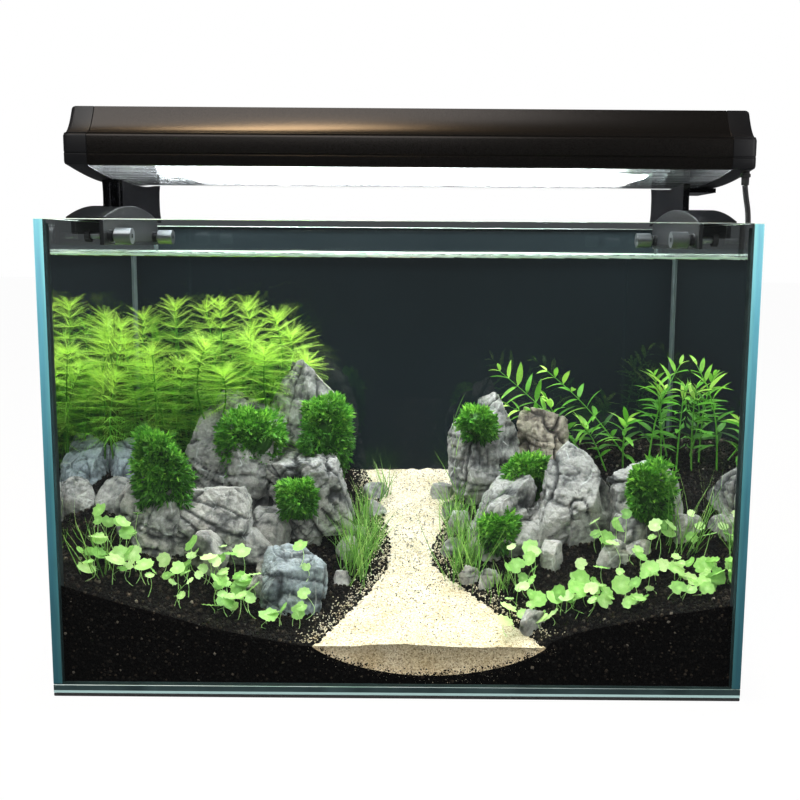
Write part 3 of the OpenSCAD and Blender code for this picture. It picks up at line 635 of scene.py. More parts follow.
def make_cord():
    """The power cord: out of the gland, down beside the tank, round behind it, into a coil, to its plug."""
    gland_lo, gland_hi = box_of("strain_relief")
    gx, gy = (gland_lo + gland_hi)[:2] / 2
    gz = gland_lo[2] - 0.0002
    coil_lo, coil_hi = box_of("cord_coil")
    centre = (coil_lo + coil_hi)[:2] / 2
    route = [(gx, gy, gz), (gx + 0.001, gy, 0.441), (gx + 0.0045, gy, 0.424), (gx + 0.0045, gy, 0.398),
             (gx + 0.002, gy + 0.001, 0.350), (gx, gy + 0.003, 0.280), (gx, gy + 0.006, 0.200),
             (gx, gy + 0.009, 0.120), (gx, gy + 0.013, 0.060), (gx + 0.001, gy + 0.024, 0.024),
             (gx + 0.002, gy + 0.046, 0.006), (gx + 0.002, gy + 0.082, 0.0026),
             (gx + 0.001, gy + 0.136, 0.0026),
             (gx - 0.001, 0.140, 0.0026), (gx - 0.010, 0.180, 0.0026), (gx - 0.044, 0.196, 0.0026),
             (gx - 0.070, 0.1965, 0.0026), (centre[0] + 0.012, centre[1] - 0.0295, 0.0026),
             (centre[0], centre[1] - 0.0302, 0.0026)]
    run = eased(route)
    turns = coil_turns(centre, 5, 0.0302, 0.0249, 0.0026, 0.0051, -math.pi / 2)
    turns[:, 0] = 2 * centre[0] - turns[:, 0]
    path = np.concatenate([run[:-1], turns])
    plug_lo, plug_hi = box_of("plug_body")
    last = path[-1]
    mouth = np.array([plug_hi[0], (plug_lo[1] + plug_hi[1]) / 2, 0.0101])
    steps = np.linspace(0, 1, 8)[1:, None]
    bend = np.array([mouth[0] + 0.012, mouth[1] - 0.006, 0.0128])
    lead = last * (1 - steps) ** 2 + 2 * bend * steps * (1 - steps) + mouth * steps**2
    path = np.concatenate([path, lead])
    points, faces = tube(path, 0.0025, 10)
    o = mesh_object("cord", points, faces)
    length = np.linalg.norm(np.diff(path, axis=0), axis=1).sum()
    return o, path, float(length)


cord, cord_path, cord_length = make_cord()
print("cord length", round(cord_length, 3))


def softened(node, finish, body, slot, width=0.0008, segments=2, smooth=35):
    """A frame node's own shape with its edges rounded over."""
    src = nodes[node].data
    co = np.zeros(len(src.vertices) * 3, np.float32)
    src.vertices.foreach_get("co", co)
    at = np.zeros(len(src.polygons) * 3, np.int32)
    src.polygons.foreach_get("vertices", at)
    keys, back = np.unique(np.round(co.reshape(-1, 3), 6), axis=0, return_inverse=True)
    f = back.reshape(-1)[at].reshape(-1, 3)
    f = f[(f[:, 0] != f[:, 1]) & (f[:, 1] != f[:, 2]) & (f[:, 0] != f[:, 2])]
    o = mesh_object(node + "_finished", keys, f, False)
    o.data.validate()
    cut = o.modifiers.new("rounding", "BEVEL")
    cut.width, cut.segments, cut.limit_method = width, segments, "ANGLE"
    cut.angle_limit = math.radians(30)
    cut.use_clamp_overlap = True
    o.data.polygons.foreach_set("use_smooth", np.ones(len(o.data.polygons), bool))
    o.data.set_sharp_from_angle(angle=math.radians(smooth))
    return dress(o, finish, body, slot, node)


cord.data.materials.append(jacket_m)
tie = softened("cord_tie", rubber_m, "tank", "cord", 0.0004)
plug = softened("plug_body", plug_m, "tank", "plug", 0.003, 3)
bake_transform(cord)
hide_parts("power_cord", "cord_coil")


# ---------- tank ----------

def rounded_slab(lo, hi, r, steps=3):
    """A slab whose long edges are arrised: a rounded rectangle profile carried along the thin axis."""
    lo, hi = np.array(lo), np.array(hi)
    thin = int(np.argmin(hi - lo))
    u, v = [k for k in range(3) if k != thin]
    a = np.linspace(0, math.pi / 2, steps)
    inset = [(r, 0.0), (r * 0.3, r * 0.3), (0.0, r)]
    levels = [(lo[thin] + d, e) for e, d in inset] + [(hi[thin] - d, e) for e, d in reversed(inset)]
    rings = []
    for t, e in levels:
        corner = []
        for cu, cv, a0 in ((1, 1, 0), (-1, 1, 1), (-1, -1, 2), (1, -1, 3)):
            ang = a + a0 * math.pi / 2
            cx = (hi[u] - r if cu > 0 else lo[u] + r) + (r - e) * np.cos(ang)
            cy = (hi[v] - r if cv > 0 else lo[v] + r) + (r - e) * np.sin(ang)
            p = np.zeros((steps, 3))
            p[:, u], p[:, v], p[:, thin] = cx, cy, t
            corner.append(p)
        rings.append(np.concatenate(corner))
    rings = np.array(rings)
    n, m = rings.shape[:2]
    quads = grid_quads(n, m, True)
    if thin == 1:
        quads = quads[:, ::-1]
    points = np.concatenate([rings.reshape(-1, 3), rings[0].mean(0)[None], rings[-1].mean(0)[None]])
    j = np.arange(m)
    k = (j + 1) % m
    low = np.stack([np.full(m, n * m), k, j], 1)
    high = np.stack([np.full(m, n * m + 1), (n - 1) * m + j, (n - 1) * m + k], 1)
    if thin == 1:
        low, high = low[:, ::-1], high[:, ::-1]
    return points, np.concatenate([tris(quads), low, high]), len(tris(quads))


def make_pane(node):
    """A pane with clear faces and tinted, slightly rounded edges."""
    lo, hi = box_of(node)
    points, faces, sides = rounded_slab(lo, hi, 0.0007)
    o = mesh_object(node + "_glass", points, faces, False)
    dress(o, glass_m, "tank", "glass", node)
    for finish in (painted_light_edge_m, rim_m, joint_m):
        o.data.materials.append(finish)
    mid = points[faces].mean(1) - (lo + hi) / 2
    out = np.abs(mid) / ((hi - lo) / 2)
    end = node in ("left_pane", "right_pane")
    kind = np.where(out[:, 2] > 0.9, np.where(mid[:, 2] > 0, 2, 3), np.where((out[:, 1] > 0.9) & end, 1, 3))
    thin = int(np.argmin(hi - lo))
    kind[np.abs(mid[:, thin]) > (hi - lo)[thin] * 0.49] = 0
    kind[sides:] = 0
    o.data.polygons.foreach_set("material_index", kind.astype(np.int32))
    return o


for pane in ("bottom_pane", "front_pane", "back_pane", "left_pane", "right_pane"):
    make_pane(pane)
softened("levelling_mat", foam_m, "tank", "foam", 0.001)

IN_X = float(box_of("front_pane")[1][0])
IN_Y = float(box_of("back_pane")[0][1])
FLOOR_Z = float(box_of("bottom_pane")[1][2])


def path_left(y):
    """Left edge of the sand: a fan that narrows from the front, then a slow widening to the back."""
    fan = 12 + 62 * (np.clip(-30 - y, 0, None) / 122) ** 1.2
    return np.where(y < -30, -fan, -12 - 29 * (np.clip(y, 0, None) / 144) ** 1.5)


def path_right(y):
    """Right edge of the sand, drawn the same way."""
    return np.where(y < -30, 33 + 97 * (-30 - y) / 122, 33 + 37 * np.clip(y, 0, None) / 144)


IN_MM = (IN_X / MM, IN_Y / MM)


SAND_FRONT = float(box_of("soil_bed")[1][2]) / MM - 170
LIFT = SAND_FRONT - 42


def along(y):
    return (y + IN_MM[1]) / (2 * IN_MM[1])


def sand_line(y):
    return SAND_FRONT + 100 * along(y)


def left_land(y, u):
    """Soil left of the path: the sand line plus a bank that grows towards the wall."""
    ripple = 2 * (1 - u) * u * np.sin(np.radians(900 * u + 4 * y))
    return sand_line(y) + (54 + 16 * along(y)) * (1 - u) ** 1.3 + ripple


def right_land(y, u):
    """Soil right of the path: the sand line plus a bank that grows towards the wall."""
    ripple = 2 * (1 - u) * u * np.sin(np.radians(800 * u + 5 * y))
    return sand_line(y) + (40 + 8 * along(y)) * u**0.6 + ripple


def trough(y, u):
    """Underside of the sand: a lens, deepest midway, shallower towards the back."""
    return sand_line(y) - np.maximum(0.8, (26 - 14 * along(y)) * np.clip(4 * u * (1 - u), 0, None) ** 0.8)


def heap(y, u):
    """Top of the sand: a low crown with a slow ripple that dies out at both edges."""
    s = np.sin(np.radians(180 * u))
    return sand_line(y) + 1.5 * s + 1.2 * np.sin(np.radians(500 * u + 3 * y)) * s


def land(x, y):
    """Height of the ground in millimetres at a place in millimetres."""
    l, r = path_left(y), path_right(y)
    ul = np.clip((x + IN_MM[0]) / (l + IN_MM[0]), 0, 1)
    ur = np.clip((x - r) / (IN_MM[0] - r), 0, 1)
    um = np.clip((x - l) / (r - l), 0, 1)
    return np.where(x < l, left_land(y, ul), np.where(x > r, right_land(y, ur), heap(y, um)))


def two_grid_block(top, low):
    """A closed block between an upper and a lower grid of points; returns triangles too."""
    rows, cols = top.shape[:2]
    n = rows * cols
    q = grid_quads(rows, cols)
    i, j = np.arange(rows - 1), np.arange(cols - 1)
    front = np.stack([j, j + n, j + 1 + n, j + 1], 1)
    back = np.stack([j, j + 1, j + 1 + n, j + n], 1) + (rows - 1) * cols
    left = np.stack([i * cols, (i + 1) * cols, (i + 1) * cols + n, i * cols + n], 1)
    right = np.stack([i * cols, i * cols + n, (i + 1) * cols + n, (i + 1) * cols], 1) + cols - 1
    quads = np.concatenate([q, q[:, ::-1] + n, front, back, left, right])
    return np.concatenate([top.reshape(-1, 3), low.reshape(-1, 3)]), tris(quads)


def make_ground():
    """The soil bed and the sand path: two blocks that meet on one winding trough."""
    y = np.linspace(-IN_MM[1], IN_MM[1], 100)[:, None]
    l, r = path_left(y), path_right(y)
    u = np.linspace(0, 1, 70)[None]
    zones = [(-IN_MM[0] + (l + IN_MM[0]) * u, left_land(y, u))]
    zones.append((l + (r - l) * u[:, 1:-1], trough(y, u[:, 1:-1])))
    zones.append((r + (IN_MM[0] - r) * u, right_land(y, u)))
    x = np.concatenate([z[0] for z in zones], 1)
    z = np.concatenate([z[1] for z in zones], 1)
    yy = np.broadcast_to(y, x.shape)
    top = np.stack([x, yy, z - 0.4], -1) * MM
    low = top.copy()
    low[..., 2] = FLOOR_Z
    points, faces = two_grid_block(top, low)
    soil = mesh_object("soil_bed_mass", points, faces)
    soil.data.set_sharp_from_angle(angle=math.radians(50))
    dress(soil, mass_m, "tank", "soil", "soil_bed")
    x = l + (r - l) * u
    yy = np.broadcast_to(y, x.shape)
    edge = np.sin(np.pi * u) ** 0.5
    rough = (clouds(np.stack([x / 9, yy / 9, 0 * x], -1), 3, 5) - 0.5) * 3.0 * edge
    rough = rough + (clouds(np.stack([x / 2.2, yy / 2.2, 0 * x], -1), 2, 9) - 0.5) * 0.9 * edge
    top = np.stack([x, yy, heap(y, u) + rough], -1) * MM
    low = np.stack([x, yy, trough(y, u) - 0.3], -1) * MM
    points, faces = two_grid_block(top, low)
    # the face at the front pane: tone from 0.25 at the top to 1 at the bottom, browner and with a painted glow
    at_glass = (yy < -IN_MM[1] + 1).ravel()
    cut = np.concatenate([np.where(at_glass, 0.25, 0.0), np.where(at_glass, 1.0, 0.0)])
    sand = mesh_object("sand_path_fine", points, faces, True, cut)
    sand.data.set_sharp_from_angle(angle=math.radians(50))
    dress(sand, sand_m, "tank", "sand", "sand_path")


make_ground()


# ---------- repeated small shapes ----------

def repeat(shape, faces, turns, places, sizes):
    """A small shape copied by arrays of turns (3 by 3), places and sizes (one, or one for each axis)."""
    sizes = np.asarray(sizes, float)
    sizes = np.repeat(sizes[:, None], 3, 1) if sizes.ndim == 1 else sizes
    p = np.einsum("nij,nlj->nli", turns, shape[None] * sizes[:, None]) + places[:, None]
    f = faces[None] + (np.arange(len(places)) * len(shape))[:, None, None]
    return p.reshape(-1, 3), f.reshape(-1, faces.shape[1])


def random_turns(rng, n):
    """Turns spread evenly over all directions, from random unit quaternions."""
    q = rng.normal(size=(n, 4))
    q /= np.linalg.norm(q, axis=1)[:, None]
    w, x, y, z = q.T
    return np.stack([
        np.stack([1 - 2 * (y * y + z * z), 2 * (x * y - z * w), 2 * (x * z + y * w)], -1),
        np.stack([2 * (x * y + z * w), 1 - 2 * (x * x + z * z), 2 * (y * z - x * w)], -1),
        np.stack([2 * (x * z - y * w), 2 * (y * z + x * w), 1 - 2 * (x * x + y * y)], -1)], 1)


def facing(way, roll):
    """Turns that lay a shape's length along way, its width level, then rolled about its length."""
    way = way / np.linalg.norm(way, axis=1)[:, None]
    up = np.where(np.abs(way[:, 2:]) > 0.95, np.array([[0, 1.0, 0]]), np.array([[0, 0, 1.0]]))
    side = np.cross(up, way)
    side /= np.linalg.norm(side, axis=1)[:, None]
    top = np.cross(way, side)
    c, s = np.cos(roll)[:, None], np.sin(roll)[:, None]
    return np.stack([way, side * c + top * s, top * c - side * s], 2)


def ball():
    """A twenty-sided ball of radius one."""
    g = (1 + 5**0.5) / 2
    v = np.array([[-1, g, 0], [1, g, 0], [-1, -g, 0], [1, -g, 0], [0, -1, g], [0, 1, g],
                  [0, -1, -g], [0, 1, -g], [g, 0, -1], [g, 0, 1], [-g, 0, -1], [-g, 0, 1]])
    f = np.array([[0, 11, 5], [0, 5, 1], [0, 1, 7], [0, 7, 10], [0, 10, 11], [1, 5, 9], [5, 11, 4],
                  [11, 10, 2], [10, 7, 6], [7, 1, 8], [3, 9, 4], [3, 4, 2], [3, 2, 6],
                  [3, 6, 8], [3, 8, 9], [4, 9, 5],
                  [2, 4, 11], [6, 2, 10], [8, 6, 7], [9, 8, 1]])
    return v / np.linalg.norm(v[0]), f


def chip():
    """An eight-sided chip of radius one."""
    v = np.array([[1, 0, 0], [-1, 0, 0], [0, 1, 0], [0, -1, 0], [0, 0, 1], [0, 0, -1.0]])
    f = np.array([[0, 2, 4], [2, 1, 4], [1, 3, 4], [3, 0, 4], [2, 0, 5], [1, 2, 5], [3, 1, 5], [0, 3, 5]])
    return v, f


def scatter(name, shape, places, size, rng, finish, slot, tone_of=None, flat=True):
    n = len(places)
    sizes = size * rng.uniform(0.75, 1.2, (n, 1)) * rng.uniform(0.8, 1.15, (n, 3))
    p, f = repeat(*shape, random_turns(rng, n), places, sizes)
    tone = rng.random(n) if tone_of is None else tone_of
    o = mesh_object(name, p, f, not flat, np.repeat(tone, len(shape[0])))
    return dress(o, finish, "tank", slot)


def make_grains():
    """Soil balls over the beds and against the panes, and pale grains strayed into them."""
    rng = chance(11)
    r = 1.9
    for name, low, high, seed in (("left", -IN_MM[0], 60, 1), ("right", 20, IN_MM[0], 2)):
        x = rng.uniform(low + r, high - r, 11000)
        y = rng.uniform(-IN_MM[1] + r, IN_MM[1] - r, 11000)
        keep = x < path_left(y) + 1.5 if name == "left" else x > path_right(y) - 1.5
        x, y = x[keep][:8200], y[keep][:8200]
        z = land(x, y) + rng.uniform(-0.9, 0.9, len(x))
        scatter("soil_grains_" + name, ball(), np.stack([x, y, z], 1) * MM, r * MM, rng, grain_m, "soil")
    x = rng.uniform(-IN_MM[0] + r, IN_MM[0] - r, 16000)
    z = rng.uniform(FLOOR_Z / MM + r, 110, 16000)
    y = np.full(16000, -IN_MM[1] + 1.2)
    u = np.clip((x - path_left(y)) / (path_right(y) - path_left(y)), 0, 1)
    inside = (x > path_left(y)) & (x < path_right(y))
    top = np.where(inside, trough(y, u) - 1, land(x, y))
    keep = z < top
    x, y, z = x[keep][:9500], y[keep][:9500] + rng.uniform(0, 1.0, keep.sum())[:9500], z[keep][:9500]
    scatter("soil_grains_front", ball(), np.stack([x, y, z], 1) * MM, r * MM, rng, grain_m, "soil")
    y = rng.uniform(-IN_MM[1] + r, IN_MM[1] - r, 12000)
    x = np.where(rng.random(12000) < 0.5, -IN_MM[0] + 1.2, IN_MM[0] - 1.2)
    z = rng.uniform(FLOOR_Z / MM + r, 220, 12000)
    keep = z < land(x, y)
    places = (np.stack([x, y, z], 1) * MM)[keep][:8000]
    scatter("soil_grains_sides", ball(), places, r * MM, rng, grain_m, "soil")
    n = 2600
    y = rng.uniform(-IN_MM[1] + 2, IN_MM[1] - 2, n)
    away = np.abs(rng.normal(0, 9, n))
    left = rng.random(n) < 0.5
    x = np.where(left, path_left(y) - away, path_right(y) + away)
    x = np.clip(x, -IN_MM[0] + 2, IN_MM[0] - 2)
    z = land(x, y) + 1.2
    places = np.stack([x, y, z], 1)
    m = 500
    fx = rng.uniform(-80, 140, m)
    fy = np.full(m, -IN_MM[1] + 0.6)
    fu = np.clip((fx - path_left(fy)) / (path_right(fy) - path_left(fy)), 0.0, 1)
    fz = trough(fy, fu) - np.abs(rng.normal(0, 6, m))
    keep = fz > FLOOR_Z / MM + 1
    places = np.concatenate([places, np.stack([fx, fy, fz], 1)[keep]])
    scatter("stray_sand", chip(), places * MM, 0.8 * MM, rng, sand_m, "sand", np.zeros(len(places)))
    n = 900
    fu = rng.uniform(0.02, 0.98, n)
    fy = np.full(n, -IN_MM[1] + 1.3)
    fx = path_left(fy) + (path_right(fy) - path_left(fy)) * fu
    fz = trough(fy, fu) + np.abs(rng.normal(0, 2.6, n)) - 1
    edge = np.stack([fx, fy, np.minimum(fz, heap(fy, fu) - 2)], 1) * MM
    scatter("soil_grains_edge", ball(), edge, 1.5 * MM, rng, grain_m, "soil")
    u, y = rng.random(n), rng.uniform(-IN_MM[1] + 1, IN_MM[1] - 2, n)
    x = path_left(y) + (path_right(y) - path_left(y)) * u
    places = np.stack([x, y, heap(y, u) + 0.9], 1) * MM
    scatter("sand_specks", chip(), places, 0.75 * MM, rng, stone_m, "rock", rng.random(n))


make_grains()


# ---------- stones ----------

STONES = {
    # node: (seed, flat cuts, groove depth, groove lean, material)
    "rock_back_left": (2, 12, 3.0, 0.2, blue_stone_m),
    "rock_pointed": (5, 16, 5.0, 0.35, stone_m),
    "rock_triangle": (7, 12, 3.5, 0.5, stone_m),
    "rock_crown_left": (11, 20, 5.5, 0.3, stone_m),
    "rock_crown_middle": (13, 20, 6.0, 0.2, stone_m),
    "rock_ledge": (17, 14, 5.0, 1.0, stone_m),
    "rock_low_left": (19, 14, 4.0, 0.3, blue_stone_m),
    "rock_cluster_right": (23, 16, 6.5, 0.1, stone_m),
    "rock_porous": (29, 12, 5.0, 0.1, brown_stone_m),
    "rock_slab_middle": (31, 16, 6.5, 0.12, stone_m),
    "rock_slab_right": (37, 16, 6.5, 0.1, stone_m),
    "rock_ragged": (41, 18, 7.0, 0.25, stone_m),
}


def stone_skin(centre, half, seed, cuts, depth, lean, rows=120, cols=200):
    """A stone's skin over a grid of two angles: a squared ball, flattened by random planes, then grooved.

    Each plane pulls whatever stands beyond it back onto it. Grooves are thin creases of ridged noise,
    long in one direction; clouds of two sizes roughen the rest. Also returns how open each point lies."""
    rng = chance(seed)
    a = np.linspace(-math.pi / 2, math.pi / 2, rows + 2)[1:-1, None]
    b = np.arange(cols)[None] * TAU / cols
    d = np.stack([np.cos(a) * np.cos(b), np.cos(a) * np.sin(b), np.sin(a) + 0 * b], -1).reshape(-1, 3)
    d = np.concatenate([d, [[0, 0, -1.0], [0, 0, 1.0]]])
    reach = (np.abs(d) ** 3).sum(1) ** (-1 / 3)
    p = d * reach[:, None] * half * 1.12
    for k in range(cuts):
        n = rng.normal(size=3)
        n[2] = abs(n[2]) * 0.8 - 0.15
        n /= np.linalg.norm(n)
        off = np.linalg.norm(n * half) * rng.uniform(0.66, 0.98)
        p = p - np.maximum(p @ n - off, 0)[:, None] * n
    out = p / half
    out /= np.linalg.norm(out, axis=1)[:, None]
    g = (p + seed) / MM
    turn = np.array([[1, 0, -lean], [0, 1, lean * 0.4], [lean, 0, 1]])
    g = g @ turn.T
    bend = (clouds(g / 30, 2, seed + 3)[:, None] - 0.5) * 14
    ridge = 1 - np.abs(2 * cloud((g + bend) / np.array([19, 19, 90]), seed + 7) - 1)
    ridge2 = 1 - np.abs(2 * cloud((g + bend) / np.array([7, 7, 30]), seed + 8) - 1)
    level = 1 - np.abs(2 * cloud((g + bend) / np.array([60, 60, 10]), seed + 9) - 1)
    upright, flat = 0.45 + 0.55 * (lean < 0.2), 0.3 + min(lean, 1)
    crease = np.clip(upright * ridge**16 + 0.22 * ridge2**12 + flat * level**12, 0, 1)
    broad = clouds(g / 16, 4, seed + 12) - 0.5
    fine = clouds(g / 3.6, 3, seed + 15) - 0.5
    move = -depth * crease + broad * depth * 1.1 + fine * 2.0
    p = p + out * (move * MM)[:, None]
    points = centre + p
    n = rows * cols
    j = np.arange(cols)
    k = (j + 1) % cols
    low = np.stack([np.full(cols, n), k, j], 1)
    high = np.stack([np.full(cols, n + 1), (rows - 1) * cols + j, (rows - 1) * cols + k], 1)
    # how open each point lies: the stone and moss colours turn this into painted shade in the creases
    open_ = np.clip(0.68 + broad * 0.8 + fine * 0.7 - crease * 0.95, 0, 1)
    return points, np.concatenate([tris(grid_quads(rows, cols, True)), low, high]), open_


def make_stones():
    skins = []
    for node, (seed, cuts, depth, lean, finish) in STONES.items():
        lo, hi = box_of(node)
        points, faces, open_ = stone_skin((lo + hi) / 2, (hi - lo) / 2, seed, cuts, depth, lean)
        limit = np.array([IN_X, IN_Y, 10]) - 0.0008
        points = np.clip(points, -limit, limit)
        o = mesh_object(node + "_stone", points, faces, True, open_)
        slot = "brown_rock" if node == "rock_porous" else "rock"
        dress(o, finish, "tank", slot, node)
        skins.append((points, faces))
    return skins


stone_skins = make_stones()


def make_rubble():
    """Broken bits of the same stone, lodged where the path meets the beds."""
    rng = chance(77)
    spots = [(-176, -70, 24), (-232, -60, 22), (-112, -64, 20), (-150, -40, 30), (-96, 8, 26),
             (-128, -14, 26), (120, -30, 24), (176, -20, 26), (104, 2, 22), (150, -2, 28), (222, -34, 22),
             (84, -24, 18), (-270, -20, 22), (248, -10, 24), (-52, -20, 15), (-48, 14, 12), (-30, 66, 13),
             (52, -18, 12), (66, -58, 10), (120, -128, 11), (58, 20, 13),
             (84, -70, 12), (50, 62, 12), (-128, -96, 13), (200, -70, 16), (142, -60, 14), (270, -40, 18),
             (196, 30, 20), (-30, 100, 12), (44, 100, 12), (-54, -60, 9), (224, -60, 12)]
    parts, count = [], 0
    faces_all, tones = [], []
    for k, (x, y, r) in enumerate(spots):
        z = float(land(np.array(float(x)), np.array(float(y)))) + r * 0.25
        half = np.array([r, r * rng.uniform(0.7, 1), r * rng.uniform(0.6, 1.2)]) * MM
        p, f, t = stone_skin(np.array([x, y, z]) * MM, half, 100 + k, 9, 1.8, 0.2, 30, 46)
        parts.append(p)
        faces_all.append(f + count)
        tones.append(t)
        count += len(p)
    o = mesh_object("rubble", np.concatenate(parts), np.concatenate(faces_all), True, np.concatenate(tones))
    dress(o, stone_m, "tank", "rock")


make_rubble()


def ground_finder():
    """A tree of all stone and land surfaces, to stand plants on."""
    x, y = np.meshgrid(np.linspace(-IN_MM[0], IN_MM[0], 120), np.linspace(-IN_MM[1], IN_MM[1], 70))
    land_p = np.stack([x, y, land(x, y)], -1).reshape(-1, 3) * MM
    points, faces, n = [land_p], [tris(grid_quads(70, 120))], len(land_p)
    for p, f in stone_skins:
        points.append(p)
        faces.append(f + n)
        n += len(p)
    return BVHTree.FromPolygons(np.concatenate(points).tolist(), np.concatenate(faces).tolist())


ground = ground_finder()


def drop(xy, start=0.37):
    """Where a straight fall from above lands: the height and the surface's direction, for each place."""
    spots, ways = [], []
    for x, y in xy:
        hit, way, _, _ = ground.ray_cast(Vector((x, y, start)), Vector((0, 0, -1)))
        spots.append((x, y, FLOOR_Z + 0.05) if hit is None else tuple(hit))
        ways.append((0, 0, 1) if way is None else tuple(way if way.z > 0 else -way))
    return np.array(spots), np.array(ways)


# ---------- plants ----------

def frond():
    """A feathery leaf one long: a thin rib and eight pairs of threads that shorten towards the tip."""
    k = np.linspace(0.16, 0.93, 8)
    v, f = [[0, -0.016, 0], [0, 0.016, 0], [1, 0, -0.1]], [[0, 2, 1]]
    for t in k:
        for s in (-1, 1):
            reach = 0.3 * (1 - t) ** 0.5 + 0.06
            z = -0.1 * t * t
            n = len(v)
            v += [[t - 0.011, 0, z], [t + 0.011, 0, z], [t + reach * 0.85, s * reach * 0.7, z - 0.03]]
            f += [[n, n + 1, n + 2]] if s > 0 else [[n, n + 2, n + 1]]
    return np.array(v), np.array(f)


def lance():
    """A lance-shaped leaf one long: width a sine of its length raised a little, folded along its middle."""
    t = np.linspace(0, 1, 6)
    w = 0.115 * np.sin(np.pi * t**0.75) ** 0.9
    z = 0.16 * t - 0.3 * t * t
    rows = np.stack([np.stack([t, -w, z + w * 0.35], 1), np.stack([t, 0 * w, z], 1),
                     np.stack([t, w, z + w * 0.35], 1)], 1)
    return rows.reshape(-1, 3), tris(grid_quads(6, 3))


def penny_disc():
    """A round leaf of radius one: shallow cup, scalloped rim, and a notch where the stalk meets it."""
    a = np.arange(18) * TAU / 18
    notch = 1 - 0.45 * np.exp(-((a - 0) / 0.25) ** 2) - 0.45 * np.exp(-((a - TAU) / 0.25) ** 2)
    rim = (1 + 0.06 * np.cos(9 * a)) * notch
    inner = np.stack([0.5 * np.cos(a) * notch**0.5, 0.5 * np.sin(a), 0.03 + 0 * a], 1)
    outer = np.stack([rim * np.cos(a), rim * np.sin(a), 0.06 + 0.05 * np.cos(9 * a)], 1)
    v = np.concatenate([[[0, 0, 0]], inner, outer])
    j = np.arange(18)
    k = (j + 1) % 18
    return v, np.concatenate([np.stack([0 * j, 1 + j, 1 + k], 1), np.stack([1 + j, 19 + j, 19 + k], 1),
                              np.stack([1 + j, 19 + k, 1 + k], 1)])


def blade():
    """A grass blade one long, five steps: width tapers, and it arches over as its length squared."""
    t = np.linspace(0, 1, 6)
    w = 0.5 * (1 - t**2.2) + 0.02
    z = t
    x = 0.35 * t**2
    rows = np.stack([np.stack([x, -w, z], 1), np.stack([x, w, z], 1)], 1)
    return rows.reshape(-1, 3), tris(grid_quads(6, 2))


def leaflet():
    """A moss leaflet one long: a diamond folded along its middle."""
    v = np.array([[0, 0, 0], [0.45, -0.2, 0.06], [1, 0, 0.12], [0.45, 0.2, 0.06], [0.5, 0, 0.0]])
    return v, np.array([[0, 1, 4], [1, 2, 4], [0, 4, 3], [4, 2, 3]])


def stems(paths, radius, sides=4):
    """Thin stems along an array of paths (stem, step, 3): rings of a few points, widest at the foot."""
    n, m = paths.shape[:2]
    t = np.arange(sides) * TAU / sides
    ring = np.stack([np.cos(t), np.sin(t), 0 * t], 1)
    taper = radius * (1 - 0.6 * np.linspace(0, 1, m))[None, :, None, None]
    p = (paths[:, :, None] + ring[None, None] * taper).reshape(-1, 3)
    q = grid_quads(m, sides, True)
    cap = np.stack([np.zeros(sides - 2, int), np.arange(1, sides - 1), np.arange(2, sides)], 1)
    cap = cap + (m - 1) * sides
    one = np.concatenate([tris(q), cap])
    f = (one[None] + (np.arange(n) * m * sides)[:, None, None]).reshape(-1, 3)
    return p, f


def join(*parts):
    """Several (points, faces, tone) sets made one."""
    n = 0
    P, F, T = [], [], []
    for p, f, t in parts:
        P.append(p)
        F.append(f + n)
        T.append(np.broadcast_to(t, len(p)))
        n += len(p)
    return np.concatenate(P), np.concatenate(F), np.concatenate(T)


def inside_tank(p, margin=0.0015):
    limit = np.array([IN_X, IN_Y, WATER_Z]) - margin
    return np.clip(p, [-limit[0], -limit[1], 0], limit)


def whorled(foot, tip, bow, count, whorls, per, first, reach, shape, rng, lift, spread=0.12, crowd=1.0):
    """Leaves in rings along stems: each stem is a bowed line; the rings crowd towards its tip.

    Leaves start out level low on the stem and rise towards the tip, where they are also shorter."""
    n = len(foot)
    t = np.linspace(0, 1, count)[None, :, None]
    line = foot[:, None] * (1 - t) + tip[:, None] * t + bow[:, None] * np.sin(np.pi * t)
    at = (0.985 - (0.985 - first) * np.linspace(1, 0, whorls) ** crowd)[None, :, None]
    mid = foot[:, None] * (1 - at) + tip[:, None] * at + bow[:, None] * np.sin(np.pi * at)
    axis = (tip - foot)[:, None] + bow[:, None] * np.pi * np.cos(np.pi * at)
    axis = axis / np.linalg.norm(axis, axis=2)[..., None]
    side = np.cross(axis, [0.0, 1.0, 0.0])
    side /= np.linalg.norm(side, axis=2)[..., None]
    other = np.cross(axis, side)
    a = np.arange(per)[None, None] * TAU / per + rng.uniform(0, TAU, (n, whorls, 1))
    a = a + rng.normal(0, spread, (n, whorls, per))
    share = at[..., 0][..., None]
    rise = lift[0] + (lift[1] - lift[0]) * share**3 + rng.normal(0, 0.12, a.shape)
    way = (side[:, :, None] * np.cos(a)[..., None] + other[:, :, None] * np.sin(a)[..., None])
    way = way * np.cos(rise)[..., None] + axis[:, :, None] * np.sin(rise)[..., None]
    size = reach * (1 - 0.45 * np.clip((share - 0.75) / 0.25, 0, 1) ** 2) * rng.uniform(0.8, 1.15, a.shape)
    places = np.broadcast_to(mid[:, :, None], way.shape).reshape(-1, 3)
    turns = facing(way.reshape(-1, 3), rng.normal(0, 0.25, places.shape[0]))
    p, f = repeat(*shape, turns, places, size.ravel())
    # tone rises towards the tip: leaves lower on the stem are darker, painted shade under the crown
    tone = np.clip(0.25 + 0.55 * (share**2) + rng.normal(0, 0.12, a.shape), 0, 1).ravel()
    return line, p, f, np.repeat(tone, len(shape[0]))


